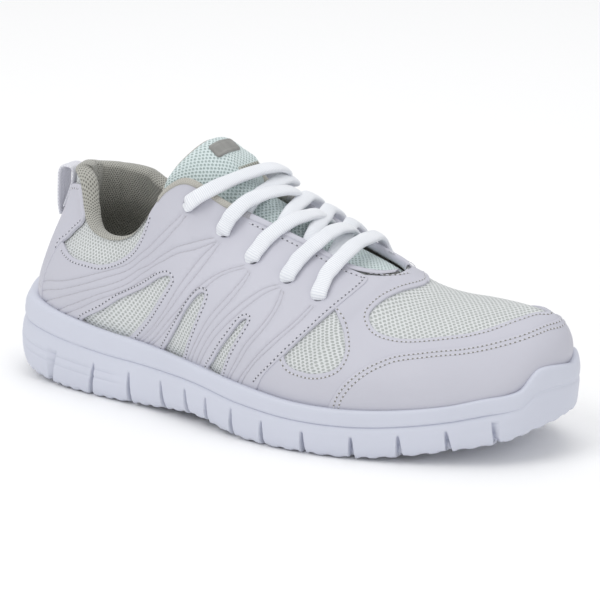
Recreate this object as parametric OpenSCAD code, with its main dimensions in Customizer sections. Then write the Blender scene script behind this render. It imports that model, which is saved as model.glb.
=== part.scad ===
// Cheer shoe for the right foot: a foam sole in two halves that bend at the ball,
// a mesh upper under smooth overlays, a padded collar and tongue, and laced eyestays.
// Toe points to +X, the outer (lateral) side is -Y and the ground is Z = 0.

/* [Size] */
// Length of the sole from heel to toe
sole_length = 284; // [250:1:300]
// Width of the sole across the ball
sole_width = 105; // [95:1:112]
// Height of the collar at the heel
collar_height = 95; // [88:1:100]

/* [Layers] */
// Thickness of the smooth overlays
overlay_t = 1.0; // [0.8:0.1:1.2]
// Thickness of the mesh that carries the upper
mesh_t = 1.25; // [1:0.05:1.5]
// Depth of the padding at the collar
padding = 6; // [4:0.5:7]
// Thickness of the loose insole
insole_t = 4; // [3:0.5:5]
// Thickness of the tread under the foam
tread_t = 2; // [1.5:0.1:2]

/* [Laces] */
// Width of the flat lace
lace_w = 6; // [5:0.5:7]
// Thickness of the flat lace
lace_t = 2.6; // [2:0.1:3]

/* [Hidden] */

// Scale of the drawn outline against the driving sizes
kx = sole_length / 284;
ky = sole_width / 105;
kz = collar_height / 95;
// Middle of the sole, which is the origin of the part
mid_x = 141.5;
mid_y = -8;

// Every outline is read at a station from 0 at the back of the heel, along the outer side
// to 12 at the toe tip, and back along the inner side to 24, which is the heel again.

// Sole edge in plan: station, x, y
PLAN = [[0, 0, 2], [1, 7, -18], [2, 18, -32], [3, 40, -39], [4, 67, -42.5], [5, 95, -46],
  [6, 123, -52.5], [7, 151, -59], [8, 181, -60.5], [9, 212, -55], [10, 244, -43], [11, 272, -25],
  [12, 283, 4], [13, 268, 28], [14, 241, 40], [15, 211, 44.5], [16, 182, 44], [17, 154, 39],
  [18, 126, 33], [19, 97, 30.5], [20, 70, 31.5], [21, 43, 33], [22, 20, 29], [23, 5.5, 18]];
// Heights, the same on both sides: station, ground edge, joint of upper and sole, insole bed
LEVELS = [[0, 15.5, 46, 31], [1, 11, 43, 30], [2, 4, 40.5, 28.5], [3, 0.6, 36, 27], [4, 0, 32, 25],
  [5, 1.5, 30, 23.5], [6, 4, 27.5, 21.5], [7, 0.5, 24.5, 18.5], [8, 0, 21.5, 16.5],
  [9, 0.6, 22, 17], [10, 5.5, 26, 20], [11, 14, 35.5, 26], [12, 18, 42, 30]];
// How far the upper meets the sole inside its edge: station, distance
SHELF = [[0, 9], [1, 10.5], [2, 8], [3, 3.5], [5, 3.5], [8, 4], [10, 2], [12, 3.5], [14, 4],
  [16, 4], [19, 4], [21, 5], [22, 7], [23, 9]];
// Wall of the sole from the top band to the ground: shelf factor, step out, height fraction
WALL = [[-0.6, 2, 1], [-0.25, 0, 0.8], [-0.2, 0, 0.66], [0, 0, 0.4], [0, -0.5, 0.12], [0, -3.5, 0]];
// Top edge of the upper on the outer side: station, x, y, z
RIM = [[0, 27, 0, 95], [1, 27, -10, 94], [2, 37.5, -18, 87.5], [3, 50.5, -25, 76],
  [3.5, 59, -27, 72.5], [4, 69.5, -28, 72.3], [4.5, 78, -28.5, 77], [5, 87, -28, 88.5],
  [5.3, 94, -25.5, 98.5], [5.6, 103.5, -22.5, 102.5], [6, 121, -20, 94], [6.5, 142, -18, 87],
  [7, 163, -16.5, 80], [7.4, 181, -15, 73], [7.7, 194, -10, 70.5], [8, 202, 0, 70.5]];
// The same edge on the inner side, where the collar dips less
RIM_IN = [[0, 27, 0, 95], [1, 27.5, 10, 94], [2, 37, 20.5, 93], [3, 51, 26.5, 91],
  [3.5, 60, 28, 86], [4, 70, 28.5, 82], [4.5, 79, 28.5, 82.5], [5, 88, 27, 89],
  [5.3, 95, 24.5, 97.5], [5.6, 104, 22, 102], [6, 121, 19.5, 94], [6.5, 142, 17.5, 87],
  [7, 163, 16, 80], [7.4, 181, 14.5, 73.5], [7.7, 194, 10, 70.5], [8, 202, 0, 70.5]];
// Crest of the toe, from the front of the throat: station, x, y, z
CREST = [[8, 202, 0, 70.5], [8.6, 212, 1, 65], [9.3, 224, 2, 62], [10, 236, 3, 60.5],
  [11, 251, 4, 59.5], [12, 262, 4, 57.5]];
// Bulge of the upper: station, out and up from the sole, out and down from the top edge
BULGE = [[0, 1, 20, -3, 18], [1, 2.5, 20, -1, 18], [2, 2.5, 18, 0, 16], [3, 4, 16, 3, 13],
  [4, 4, 16, 4, 12], [5, 5, 20, 4, 16], [6, 5, 22, 7, 15], [7, 5, 22, 12, 9], [7.6, 5, 20, 18, 4],
  [8, 5, 19.5, 24, 2], [9, 5, 18, 24.5, 1], [10, 4, 16, 22, 0], [11, 4.5, 12, 16, 0],
  [12, 2.5, 9, 11, 0]];
throat_front = 8;
toe_tip = 12;
lap = 24;

// Smooth run through rows of [station, values...]
function row_of(rows, q, i = 0) =
  i >= len(rows) - 2 || q < rows[i + 1][0] ? i : row_of(rows, q, i + 1);
function slope_at(rows, i) =
  let (a = max(i - 1, 0), b = min(i + 1, len(rows) - 1))
  (rows[b] - rows[a]) / (rows[b][0] - rows[a][0]);
function run(rows, q) =
  let (k = min(max(q, rows[0][0]), rows[len(rows) - 1][0]),
       i = row_of(rows, k), h = rows[i + 1][0] - rows[i][0], t = (k - rows[i][0]) / h,
       a = slope_at(rows, i) * h, b = slope_at(rows, i + 1) * h, t2 = t * t, t3 = t2 * t)
  (2 * t3 - 3 * t2 + 1) * rows[i] + (t3 - 2 * t2 + t) * a
    + (3 * t2 - 2 * t3) * rows[i + 1] + (t3 - t2) * b;
function shifted(row, by) = [for (j = [0 : len(row) - 1]) row[j] + (j == 0 ? by : 0)];
function ring(rows) = let (n = len(rows)) concat(
  [for (i = [n - 3 : n - 1]) shifted(rows[i], -lap)], rows, [for (i = [0 : 2]) shifted(rows[i], lap)]);
PLAN_RING = ring(PLAN);
SHELF_RING = ring(SHELF);

function unit(a) = a / norm(a);
function around(u) = u - lap * floor(u / lap);
function side_station(u) = let (q = around(u)) q <= toe_tip ? q : lap - q;
function plan_at(u) = let (r = run(PLAN_RING, around(u))) [r[1], r[2]];
function outward(u) =
  let (d = plan_at(u + 0.03) - plan_at(u - 0.03)) unit([d[1], -d[0]]);
function levels(u) = run(LEVELS, side_station(u));
function shelf(u) = run(SHELF_RING, around(u))[1];
function in_plan(u, inset) = plan_at(u) - outward(u) * inset;
function joint_line(u) =
  let (p = in_plan(u, shelf(u))) [p[0], p[1], levels(u)[2]];
function rim(u) = let (k = side_station(u), r =
  k >= throat_front ? run(CREST, k) : run(around(u) <= toe_tip ? RIM : RIM_IN, k)) [r[1], r[2], r[3]];
function crest_slope(k) = k < throat_front ? 0 :
  let (a = run(CREST, max(k - 0.2, throat_front)), b = run(CREST, min(k + 0.2, toe_tip)))
  (b[3] - a[3]) / (b[1] - a[1]);

// Outer face of the upper: v runs from 0 at the sole to 1 at the top edge
function upper(u, v) =
  let (k = side_station(u), h = run(BULGE, k), n = outward(u), b = joint_line(u), t = rim(u),
       p = b + [n[0] * h[1], n[1] * h[1], h[2]],
       q = t + [n[0] * h[3], n[1] * h[3], crest_slope(k) * n[0] * h[3] - h[4]], w = 1 - v)
  w * w * w * b + 3 * w * w * v * p + 3 * w * v * v * q + v * v * v * t;
function facing(u, v) =
  let (k = side_station(u), e = 0.02, a = max(v - e, 0), b = min(v + e, 1))
  k >= throat_front && v > 0.999 ? unit([-crest_slope(k), 0, 1]) :
  unit(cross(upper(u + e, v) - upper(u - e, v), upper(u, b) - upper(u, a)));
function placed(p) = [(p[0] - mid_x) * kx, (p[1] - mid_y) * ky,
  p[2] * (p[2] > 46 ? 1 + (kz - 1) * (p[2] - 46) / 49 : 1)];
function steps(a, b, n) = [for (i = [0 : n]) a + (b - a) * i / n];

// Triangles of a quad
function halves(a, b, c, d) = [[a, b, c], [a, c, d]];

// Closed skin between two grids of points, outer face first. With tip set, the last column
// is folded on itself at the toe, so its two halves share their points.
module skin(outer, inner, tip = false) {
  n = len(outer) - 1;
  m = len(outer[0]) - 1;
  function spot(i, j) = tip && i == n ? i * (m + 1) + min(j, m - j) : i * (m + 1) + j;
  far = (n + 1) * (m + 1);
  faces = concat(
    [for (i = [0 : n - 1], j = [0 : m - 1])
      each halves(spot(i, j), spot(i, j + 1), spot(i + 1, j + 1), spot(i + 1, j))],
    [for (i = [0 : n - 1], j = [0 : m - 1])
      each halves(far + spot(i, j), far + spot(i + 1, j), far + spot(i + 1, j + 1), far + spot(i, j + 1))],
    [for (i = [0 : n - 1]) each concat(
      halves(spot(i, 0), spot(i + 1, 0), far + spot(i + 1, 0), far + spot(i, 0)),
      halves(spot(i + 1, m), spot(i, m), far + spot(i, m), far + spot(i + 1, m)))],
    [for (j = [0 : m - 1]) each concat(
      halves(spot(0, j + 1), spot(0, j), far + spot(0, j), far + spot(0, j + 1)),
      tip ? [] : halves(spot(n, j), spot(n, j + 1), far + spot(n, j + 1), far + spot(n, j)))]);
  solid = [for (f = faces) if (f[0] != f[1] && f[1] != f[2] && f[2] != f[0]) f];
  points = [for (column = concat(outer, inner), p = column) placed(p)];
  polyhedron(points, solid, convexity = 8);
}

// Layer of the upper over stations us and heights vs, between two depths under its outer face
function layer(us, vs, depth) =
  [for (u = us) [for (v = vs) upper(u, v) - facing(u, v) * depth]];
module side_layer(us, vs, top, under) {
  skin(layer(us, vs, top), layer(us, vs, under));
}
// Layer that crosses over the crest: w runs from -1 at the outer side to 1 at the inner side
function over_crest(ks, ws, depth) = [for (k = ks) [for (w = ws)
  let (u = w <= 0 ? k : lap - k, v = 1 - abs(w)) upper(u, v) - facing(u, v) * depth]];
module crossing_layer(ks, ws, top, under, tip = false) {
  skin(over_crest(ks, ws, top), over_crest(ks, ws, under), tip);
}

// Solid whose rings follow the sole edge over stations us, closed across the shoe at the top
// and the bottom and cut square across at both ends
module sole_solid(us, rings, cut_x) {
  n = len(us) - 1;
  last = len(rings) - 1;
  function at(r, i) = r * (n + 1) + i;
  points = [for (r = [0 : last], i = [0 : n]) placed(
    i == 0 || i == n ? [cut_x, rings[r][i][1], rings[r][i][2]] : rings[r][i])];
  faces = concat(
    [for (r = [0 : last - 1], i = [0 : n - 1])
      each halves(at(r, i), at(r, i + 1), at(r + 1, i + 1), at(r + 1, i))],
    [for (i = [0 : n / 2 - 1]) each concat(
      halves(at(0, i), at(0, n - i), at(0, n - i - 1), at(0, i + 1)),
      halves(at(last, i), at(last, i + 1), at(last, n - i - 1), at(last, n - i)))],
    [concat([for (r = [0 : last]) at(r, 0)], [for (r = [last : -1 : 0]) at(r, n)])]);
  polyhedron(points, [for (f = faces) if (f[0] != f[1] && f[1] != f[2] && f[2] != f[0]) f], convexity = 10);
}
// Ring at a distance inside the sole edge, at a height that a function of the station gives
function sole_ring(us, inset, height) =
  [for (u = us) let (p = in_plan(u, inset(u))) [p[0], p[1], height(u)]];

// The sole bends across the ball at this place, and each half stops a hair short of it
flex_x = 205;
flex_gap = 0.3;
flex_station = 8.77;
flex_station_in = 24 - 8.79;
rear_us = concat(steps(flex_station_in, 23, 14), steps(23.2, 24.8, 8), steps(25, 24 + flex_station, 14));
front_us = concat(steps(flex_station, 11, 8), steps(11.25, 12.75, 6), steps(13, flex_station_in, 8));
rear_cut = flex_x - flex_gap / 2;
front_cut = flex_x + flex_gap / 2;

wall_gap = 0.3;
cup_t = 4.6;
module midsole(us, cut_x) {
  bed = sole_ring(us, function(u) shelf(u) + cup_t + 1, function(u) levels(u)[3]);
  lip = sole_ring(us, function(u) shelf(u) + cup_t, function(u) levels(u)[2] - wall_gap);
  seat = sole_ring(us, function(u) shelf(u), function(u) levels(u)[2] - wall_gap);
  wall = [for (row = WALL) sole_ring(us, function(u) -(row[0] * shelf(u) + row[1]),
    function(u) let (l = levels(u), low = l[1] + tread_t + 0.1) low + (l[2] - wall_gap - low) * row[2])];
  under = sole_ring(us, function(u) tread_inset, function(u) levels(u)[1] + tread_t + 0.1);
  sole_solid(us, concat([bed, lip, seat], wall, [under]), cut_x);
}
module midsole_rear() { color([0.81, 0.82, 0.88]) midsole(rear_us, rear_cut); }
module midsole_front() { color([0.81, 0.82, 0.88]) midsole(front_us, front_cut); }

// Flat boards on the bed of the sole: distance inside the cup, bottom and top above the bed
board_t = 1.2;
module bed_board(us, cut_x, inset, low, high) {
  sole_solid(us, [
    sole_ring(us, function(u) shelf(u) + cup_t + inset, function(u) levels(u)[3] + high),
    sole_ring(us, function(u) shelf(u) + cup_t + inset, function(u) levels(u)[3] + low)], cut_x);
}
module strobel_rear() { color([0.86, 0.86, 0.84]) bed_board(rear_us, rear_cut, 2, 0.05, board_t); }
module strobel_front() { color([0.86, 0.86, 0.84]) bed_board(front_us, front_cut, 2, 0.05, board_t); }
module insole_rear() {
  color([0.60, 0.60, 0.58]) bed_board(rear_us, rear_cut, 2.5, board_t + 0.05, board_t + insole_t);
}
module insole_front() {
  color([0.60, 0.60, 0.58]) bed_board(front_us, front_cut, 2.5, board_t + 0.05, board_t + insole_t);
}

// Tread pads. Those on the ground are flat plates, cut to the sole edge.
tread_inset = 7;
module tread_plate(outer_us, inner_us) {
  outline = [for (u = concat(outer_us, inner_us)) in_plan(u, tread_inset)];
  linear_extrude(tread_t) polygon([for (p = outline) [(p[0] - mid_x) * kx, (p[1] - mid_y) * ky]]);
}
module tread_heel() { color([0.78, 0.79, 0.85]) tread_plate(steps(3, 4.6, 6), steps(19.4, 21, 6)); }
module tread_ball() { color([0.78, 0.79, 0.85]) tread_plate(steps(7.2, 8.6, 6), steps(15.4, 16.8, 6)); }
module tread_flex() { color([0.78, 0.79, 0.85]) tread_plate(steps(8.95, 9.2, 2), steps(14.8, 15.05, 2)); }
toe_us = concat(steps(9.5, 11, 6), steps(11.25, 12.75, 6), steps(13, 14.5, 6));
toe_relief = 0.7;
module tread_toe() {
  color([0.78, 0.79, 0.85]) sole_solid(toe_us, [
    sole_ring(toe_us, function(u) tread_inset + 0.5, function(u) levels(u)[1] + tread_t - toe_relief),
    sole_ring(toe_us, function(u) tread_inset + 0.5, function(u) levels(u)[1])], plan_at(9.5)[0]);
}

// Depths of the stacked layers under the outer face, with a film of glue between them
glue = 0.15;
mesh_top = overlay_t + glue;
mesh_under = mesh_top + mesh_t;
liner_top = mesh_under + glue;
counter_t = 1.1;
height_rows = steps(0, 1, 6);
vamp_start = throat_front;
vamp_end = 9.5;

module mesh_lateral() {
  color([0.90, 0.92, 0.90]) side_layer(steps(0, 8, 20), height_rows, mesh_top, mesh_under);
}
module mesh_medial() {
  color([0.90, 0.92, 0.90]) side_layer(steps(16, 24, 20), height_rows, mesh_top, mesh_under);
}
crossing = concat(steps(-1, 0, 6), steps(1 / 6, 1, 5));
vamp_ks = steps(vamp_start + 0.02, vamp_end - 0.02, 4);
toe_ks = steps(vamp_end, toe_tip, 8);
module mesh_vamp() { color([0.90, 0.92, 0.90]) crossing_layer(vamp_ks, crossing, mesh_top, mesh_under); }
module mesh_toe() {
  color([0.90, 0.92, 0.90]) crossing_layer(toe_ks, crossing, mesh_top, mesh_under, tip = true);
}

// Smooth overlays on the mesh
backstay_end = 2.4;
quarter_us = concat([backstay_end + 0.02], steps(2.8, 8, 13));
quarter_in_us = concat(steps(16, 21.2, 13), [lap - backstay_end - 0.02]);
module overlay_lateral() {
  color([0.80, 0.80, 0.84]) side_layer(quarter_us, height_rows, 0, overlay_t);
}
module overlay_medial() {
  color([0.80, 0.80, 0.84]) side_layer(quarter_in_us, height_rows, 0, overlay_t);
}
module overlay_vamp() { color([0.80, 0.80, 0.84]) crossing_layer(vamp_ks, crossing, 0, overlay_t); }
guard_top = 0.45;
guard_us = steps(vamp_end, lap - vamp_end, 20);
module toe_guard() { color([0.80, 0.80, 0.84]) side_layer(guard_us, steps(0, guard_top, 3), 0, overlay_t); }
module backstay() {
  color([0.82, 0.82, 0.86])
    side_layer(steps(lap - backstay_end, lap + backstay_end, 12), height_rows, 0, overlay_t);
}

// Stiffeners hidden between the mesh and the lining
module heel_counter() {
  color([0.75, 0.74, 0.70])
    side_layer(steps(lap - 2.4, lap + 2.4, 12), steps(1 / 6, 2 / 3, 3), liner_top, liner_top + counter_t);
}
module toe_puff() {
  color([0.75, 0.74, 0.70])
    side_layer(steps(11.0625, 12.9375, 6), steps(1 / 6, 1 / 2, 2), liner_top, liner_top + counter_t);
}

// Padded collar round the ankle, thickest at the top edge
collar_us = steps(lap - 4.8, lap + 4.8, 24);
collar_vs = [0.05, 1 / 6, 1 / 3, 1 / 2, 2 / 3, 5 / 6, 0.985];
liner_t = 0.9;
foam_skin = liner_top + counter_t + glue;
function fullness(u, v) =
  let (k = side_station(u), along = min(1, max(0, (4.6 - k) / 1.2)), up = min(1, max(0, (v - 0.35) / 0.45)))
  0.8 + (padding - 0.8) * along * up * up * (3 - 2 * up);
function padded_layer(depth) =
  [for (u = collar_us) [for (v = collar_vs) upper(u, v) - facing(u, v) * (depth + fullness(u, v))]];
module collar_padding() {
  color([0.72, 0.72, 0.68]) skin(layer(collar_us, collar_vs, foam_skin), padded_layer(foam_skin));
}
module collar_lining() {
  color([0.59, 0.59, 0.56]) skin(padded_layer(foam_skin + glue), padded_layer(foam_skin + glue + liner_t));
}

// Folded tape along the throat edge, on top of the overlay
binding_vs = [0.94, 0.99];
module binding_lateral() {
  color([0.73, 0.72, 0.67]) side_layer(concat(steps(5.6, 7.6, 5), [7.9]), binding_vs, -1.05, -0.35);
}
module binding_medial() {
  color([0.73, 0.72, 0.67]) side_layer(concat([16.1], steps(16.4, 18.4, 5)), binding_vs, -1.05, -0.35);
}

// Middle line of the tongue's face, from its free top edge down to the throat front: x, z
TONGUE = [[101, 117], [105, 113.5], [109, 109.5], [114, 104], [119, 99.5], [126, 95.5],
  [142, 88.5], [155, 82.5], [168, 77], [181, 72.3], [190, 69], [200, 65]];
tongue_face_t = 1.2;
tongue_foam_t = 3.5;
tongue_liner_t = 0.9;
function tongue_line(x) = run(TONGUE, x)[1];
function tongue_lean(x) = let (q = max(x, 102)) (tongue_line(q + 1) - tongue_line(q - 1)) / 2;
// Half the width of the tongue and how hard it arches: x, half width, drop per square of y
ARCH = [[101, 22, 0.050], [108, 22, 0.050], [112, 21.5, 0.048], [119, 20.5, 0.044],
  [135, 19, 0.034], [155, 17.5, 0.026], [170, 16, 0.019], [198, 12, 0.012]];
function tongue_at(x, s, depth) =
  let (arch = run(ARCH, x), y = s * arch[1], n = unit([-tongue_lean(x), 0, 1]))
  [x, y, tongue_line(x)] - n * (arch[2] * y * y + depth);
tongue_ys = steps(-1, 1, 6);
module tongue_layer(xs, top, under) {
  skin([for (x = xs) [for (s = tongue_ys) tongue_at(x, s, top)]],
    [for (x = xs) [for (s = tongue_ys) tongue_at(x, s, under)]]);
}
// The tongue folds forward above the top lace row
fold_x = 111;
lower_xs = steps(fold_x + 0.5, 197, 12);
top_xs = steps(101, fold_x - 0.5, 4);
foam_top = tongue_face_t + glue;
foam_under = foam_top + tongue_foam_t;
module tongue_face() { color([0.82, 0.88, 0.86]) tongue_layer(lower_xs, 0, tongue_face_t); }
module tongue_padding() { color([0.75, 0.76, 0.74]) tongue_layer(lower_xs, foam_top, foam_under); }
module tongue_lining() {
  color([0.59, 0.59, 0.56]) tongue_layer(lower_xs, foam_under + glue, foam_under + glue + tongue_liner_t);
}
module tongue_top_face() { color([0.82, 0.88, 0.86]) tongue_layer(top_xs, 0, tongue_face_t); }
module tongue_top_padding() {
  color([0.59, 0.59, 0.56]) tongue_layer(top_xs, foam_top, foam_under + glue + tongue_liner_t);
}
module tongue_patch() {
  patch_xs = steps(102.5, 110, 3);
  patch_ys = steps(-0.35, 0.6, 5);
  color([0.52, 0.52, 0.50]) skin(
    [for (x = patch_xs) [for (s = patch_ys) tongue_at(x, s, -0.95)]],
    [for (x = patch_xs) [for (s = patch_ys) tongue_at(x, s, -0.25)]]);
}

// Loop of tape at the back of the collar, drawn from the side: outline and finger gap
tab_w = 12;
tab_y = 1;
TAB = [[15.8, 76], [15.8, 94], [17.8, 96], [25.8, 96], [25.8, 89], [24.8, 84.5], [22.8, 79.8],
  [20.4, 75], [18.2, 72], [16.6, 73]];
TAB_GAP = [[17.4, 78], [17.4, 93.2], [18.6, 94.4], [24.2, 94.4], [24.2, 89.6], [23.2, 85.4],
  [21.2, 80.6], [19, 76.4]];
function side_view(points) = [for (p = points) [(p[0] - mid_x) * kx, placed([p[0], 0, p[1]])[2]]];
module pull_tab() {
  color([0.83, 0.83, 0.86])
    translate([0, (tab_y - mid_y) * ky + tab_w / 2, 0]) rotate([90, 0, 0])
      linear_extrude(tab_w) difference() { polygon(side_view(TAB)); polygon(side_view(TAB_GAP)); }
}

// Each lace is a flat strap through hand-set points, from its eyelet over the tongue
OUTER_LACES = [
  [[107, -30.4, 94.4], [110.4, -25, 101.4], [114, -18.5, 105], [118, -9, 106.2], [121.5, 3, 104.6], [124.5, 15, 101.6],
    [125, 26, 98.5]],
  [[122, -29.7, 85.5], [126, -20.5, 97.5], [131, -8, 100.6], [134, 4, 99.6], [136, 14, 95.8]],
  [[139, -32.5, 77.5], [143, -20.5, 90], [146, -8, 94.7], [149, 4, 93.8], [151, 13, 89.6]],
  [[158, -34.5, 71.5], [160, -20.5, 84.4], [162, -8, 88.8], [164, 3, 88.5], [166, 12, 84.3]],
  [[175, -35.5, 67], [176, -20.5, 78.6], [177, -8, 82], [177, 6, 82], [177, 19, 78.4], [176, 28.5, 72.6]]];
INNER_LACES = [
  [[127, 29, 92], [128, 19, 97.8], [128, 8, 97.9], [129, -5, 96.1]],
  [[139, 29.5, 83.8], [141, 18, 91.6], [143, 7, 90.6], [146, -7, 89.2]],
  [[150, 30.5, 77.8], [152, 18, 87.3], [155, 7, 85.4], [159, -7, 83.2]],
  [[162, 30.5, 72.4], [164, 18, 83.1], [167, 6, 80.4], [171, -6, 78.3]]];
lace_sides = 8;
function lace_dir(route, i) = unit(route[min(i + 1, len(route) - 1)] - route[max(i - 1, 0)]);
function lace_ring(route, i) =
  let (d = lace_dir(route, i), across = unit(cross(d, [-0.45, 0, 1])), up = cross(across, d))
  [for (s = [0 : lace_sides - 1]) let (a = 360 * (s + 0.5) / lace_sides)
    route[i] + across * cos(a) * lace_w / 2 - up * sin(a) * lace_t / 2];
module lace(route) {
  n = len(route);
  function at(i, s) = i * lace_sides + s % lace_sides;
  points = [for (i = [0 : n - 1], p = lace_ring(route, i)) placed(p)];
  sides = [for (i = [0 : n - 2], s = [0 : lace_sides - 1])
    each halves(at(i, s), at(i, s + 1), at(i + 1, s + 1), at(i + 1, s))];
  ends = [[for (s = [lace_sides - 1 : -1 : 0]) s], [for (s = [0 : lace_sides - 1]) at(n - 1, s)]];
  color([0.90, 0.91, 0.93]) polyhedron(points, concat(sides, ends));
}

midsole_rear();
midsole_front();
tread_heel();
tread_ball();
tread_flex();
tread_toe();
strobel_rear();
strobel_front();
insole_rear();
insole_front();
heel_counter();
toe_puff();
mesh_lateral();
mesh_medial();
mesh_vamp();
mesh_toe();
overlay_lateral();
overlay_medial();
overlay_vamp();
toe_guard();
backstay();
collar_padding();
collar_lining();
binding_lateral();
binding_medial();
tongue_face();
tongue_padding();
tongue_lining();
tongue_top_face();
tongue_top_padding();
tongue_patch();
pull_tab();
lace(OUTER_LACES[0]);  // lace_lateral_1
lace(OUTER_LACES[1]);  // lace_lateral_2
lace(OUTER_LACES[2]);  // lace_lateral_3
lace(OUTER_LACES[3]);  // lace_lateral_4
lace(OUTER_LACES[4]);  // lace_lateral_5
lace(INNER_LACES[0]);  // lace_medial_1
lace(INNER_LACES[1]);  // lace_medial_2
lace(INNER_LACES[2]);  // lace_medial_3
lace(INNER_LACES[3]);  // lace_medial_4
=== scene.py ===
import math
import bpy
import numpy as np
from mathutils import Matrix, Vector, kdtree
from mathutils.geometry import delaunay_2d_cdt


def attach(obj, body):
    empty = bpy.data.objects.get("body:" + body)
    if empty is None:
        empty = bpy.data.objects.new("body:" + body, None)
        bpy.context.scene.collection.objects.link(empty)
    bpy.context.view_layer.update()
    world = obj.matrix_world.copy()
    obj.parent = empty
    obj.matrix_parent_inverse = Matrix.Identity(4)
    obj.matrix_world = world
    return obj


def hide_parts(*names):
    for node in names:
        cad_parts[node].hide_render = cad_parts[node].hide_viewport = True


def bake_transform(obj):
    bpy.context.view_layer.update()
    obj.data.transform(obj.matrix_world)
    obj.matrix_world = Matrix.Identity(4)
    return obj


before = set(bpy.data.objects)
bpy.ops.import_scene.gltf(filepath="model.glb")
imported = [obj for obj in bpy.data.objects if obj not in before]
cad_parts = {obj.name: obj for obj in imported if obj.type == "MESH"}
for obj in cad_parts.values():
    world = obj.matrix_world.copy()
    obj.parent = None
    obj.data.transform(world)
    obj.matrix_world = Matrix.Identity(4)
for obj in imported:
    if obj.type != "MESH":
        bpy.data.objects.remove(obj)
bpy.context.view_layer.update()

# ---------------------------------------------------------------------------
# Midsole. One injected block of bluish white foam that cups the upper: a rolled
# band along the top, a soft crease under it, then blocks parted by flex slots
# that run up the wall and across the underside.
# ---------------------------------------------------------------------------
MM = 0.001
LAP = 24
PLAN = [[0, 2], [7, -18], [18, -32], [40, -39], [67, -42.5], [95, -46], [123, -52.5], [151, -59],
        [181, -60.5], [212, -55], [244, -43], [270.6, -25], [281.4, 4], [267, 28], [241, 40], [211, 44.5],
        [182, 44], [154, 39], [126, 33], [97, 30.5], [70, 31.5], [43, 33], [20, 29], [5.5, 18]]
# station, ground edge height, height of the joint with the upper, insole bed height
LEVELS = [[0, 15.5, 39.5, 31], [1, 11, 38.8, 30], [2, 4, 38, 28.5], [3, .6, 35.4, 27], [4, 0, 32, 25],
          [5, 1.5, 30, 23.5], [6, 4, 27.5, 21.5], [7, .5, 24.5, 18.5], [8, 0, 21.5, 16.5],
          [9, .6, 22, 17], [10, 5.5, 26, 20], [10.8, 10, 31, 24], [11.3, 14, 36.5, 27], [12, 18, 40, 30]]
# the toe bumper's lip: how far it stands over the joint
BUMPER = [[0, 0], [10, 0], [10.5, .8], [10.85, -.2], [11.03, -.6], [11.12, 1.2], [11.25, 3.9], [11.4, 4.0],
          [11.7, 1.8], [12, -.8]]
SHELF = [[0, 9], [1, 10.5], [2, 8], [3, 3.5], [5, 3.5], [8, 4], [10, 2], [12, 3.5], [14, 4], [16, 4],
         [19, 4], [21, 5], [22, 7], [23, 9]]


def run(rows, q):
    """Smooth run through rows of station and values."""
    r = np.asarray(rows, float)
    x, y = r[:, 0], r[:, 1:]
    q = np.clip(np.asarray(q, float), x[0], x[-1])
    i = np.clip(np.searchsorted(x, q, side="right") - 1, 0, len(x) - 2)
    m = np.empty_like(y)
    m[1:-1] = (y[2:] - y[:-2]) / (x[2:] - x[:-2])[:, None]
    m[0], m[-1] = (y[1] - y[0]) / (x[1] - x[0]), (y[-1] - y[-2]) / (x[-1] - x[-2])
    h = (x[i + 1] - x[i])[..., None]
    t = (q - x[i])[..., None] / h
    return ((2 * t**3 - 3 * t**2 + 1) * y[i] + (t**3 - 2 * t**2 + t) * m[i] * h
            + (3 * t**2 - 2 * t**3) * y[i + 1] + (t**3 - t**2) * m[i + 1] * h)


def loop_rows(rows, lap):
    """Rows of a closed run, carried on past both ends."""
    r = np.asarray(rows, float)
    a, b = r[-3:].copy(), r[:3].copy()
    a[:, 0] -= lap
    b[:, 0] += lap
    return np.vstack([a, r, b])


PLAN_LOOP = loop_rows([[i] + p for i, p in enumerate(PLAN)], LAP)
SHELF_LOOP = loop_rows(SHELF, LAP)


def unit(a):
    return a / np.maximum(np.linalg.norm(a, axis=-1, keepdims=True), 1e-9)


def side(u):
    u = np.asarray(u, float) % LAP
    return np.where(u <= 12, u, LAP - u)


def plan_at(u):
    return run(PLAN_LOOP, np.asarray(u, float) % LAP)


def outward(u):
    d = plan_at(np.asarray(u) + .03) - plan_at(np.asarray(u) - .03)
    return unit(np.stack([d[..., 1], -d[..., 0]], -1))


def levels(u):
    return run(LEVELS, side(u))


def shelf(u):
    return run(SHELF_LOOP, np.asarray(u, float) % LAP)[..., 0]


def placed(p):
    """From shoe millimetres, heel at x = 0, to the frame's metres."""
    return (np.asarray(p, float) - np.array([141.5, -8, 0])) * MM


def add_mesh(name, points, faces, uv=None, material=None, smooth=True):
    """A mesh object from points in millimetres, faces and a flat coordinate per point."""
    data = bpy.data.meshes.new(name)
    data.from_pydata(placed(points).tolist(), [], [list(map(int, f)) for f in faces])
    if uv is not None:
        layer = data.uv_layers.new(name="UVMap")
        index = np.empty(len(data.loops), np.int32)
        data.loops.foreach_get("vertex_index", index)
        layer.data.foreach_set("uv", np.asarray(uv, np.float32)[index].ravel())
    data.validate()
    data.polygons.foreach_set("use_smooth", [smooth] * len(data.polygons))
    obj = bpy.data.objects.new(name, data)
    bpy.context.scene.collection.objects.link(obj)
    if material:
        data.materials.append(material)
    return obj


def grid_faces(rows, cols, wrap=False):
    """Quads of a grid whose points run along the columns first."""
    i, j = np.meshgrid(np.arange(rows - 1), np.arange(cols if wrap else cols - 1), indexing="ij")
    i, j = i.ravel(), j.ravel()
    k = (j + 1) % cols
    return np.stack([i * cols + j, (i + 1) * cols + j, (i + 1) * cols + k, i * cols + k], 1)


def srgb(r, g, b):
    """Linear colour of a shade written as it should look on screen, 0 to 255."""
    return tuple((c / 255 / 12.92 if c <= 10.3 else ((c / 255 + .055) / 1.055) ** 2.4)
                 for c in (r, g, b)) + (1,)


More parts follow.
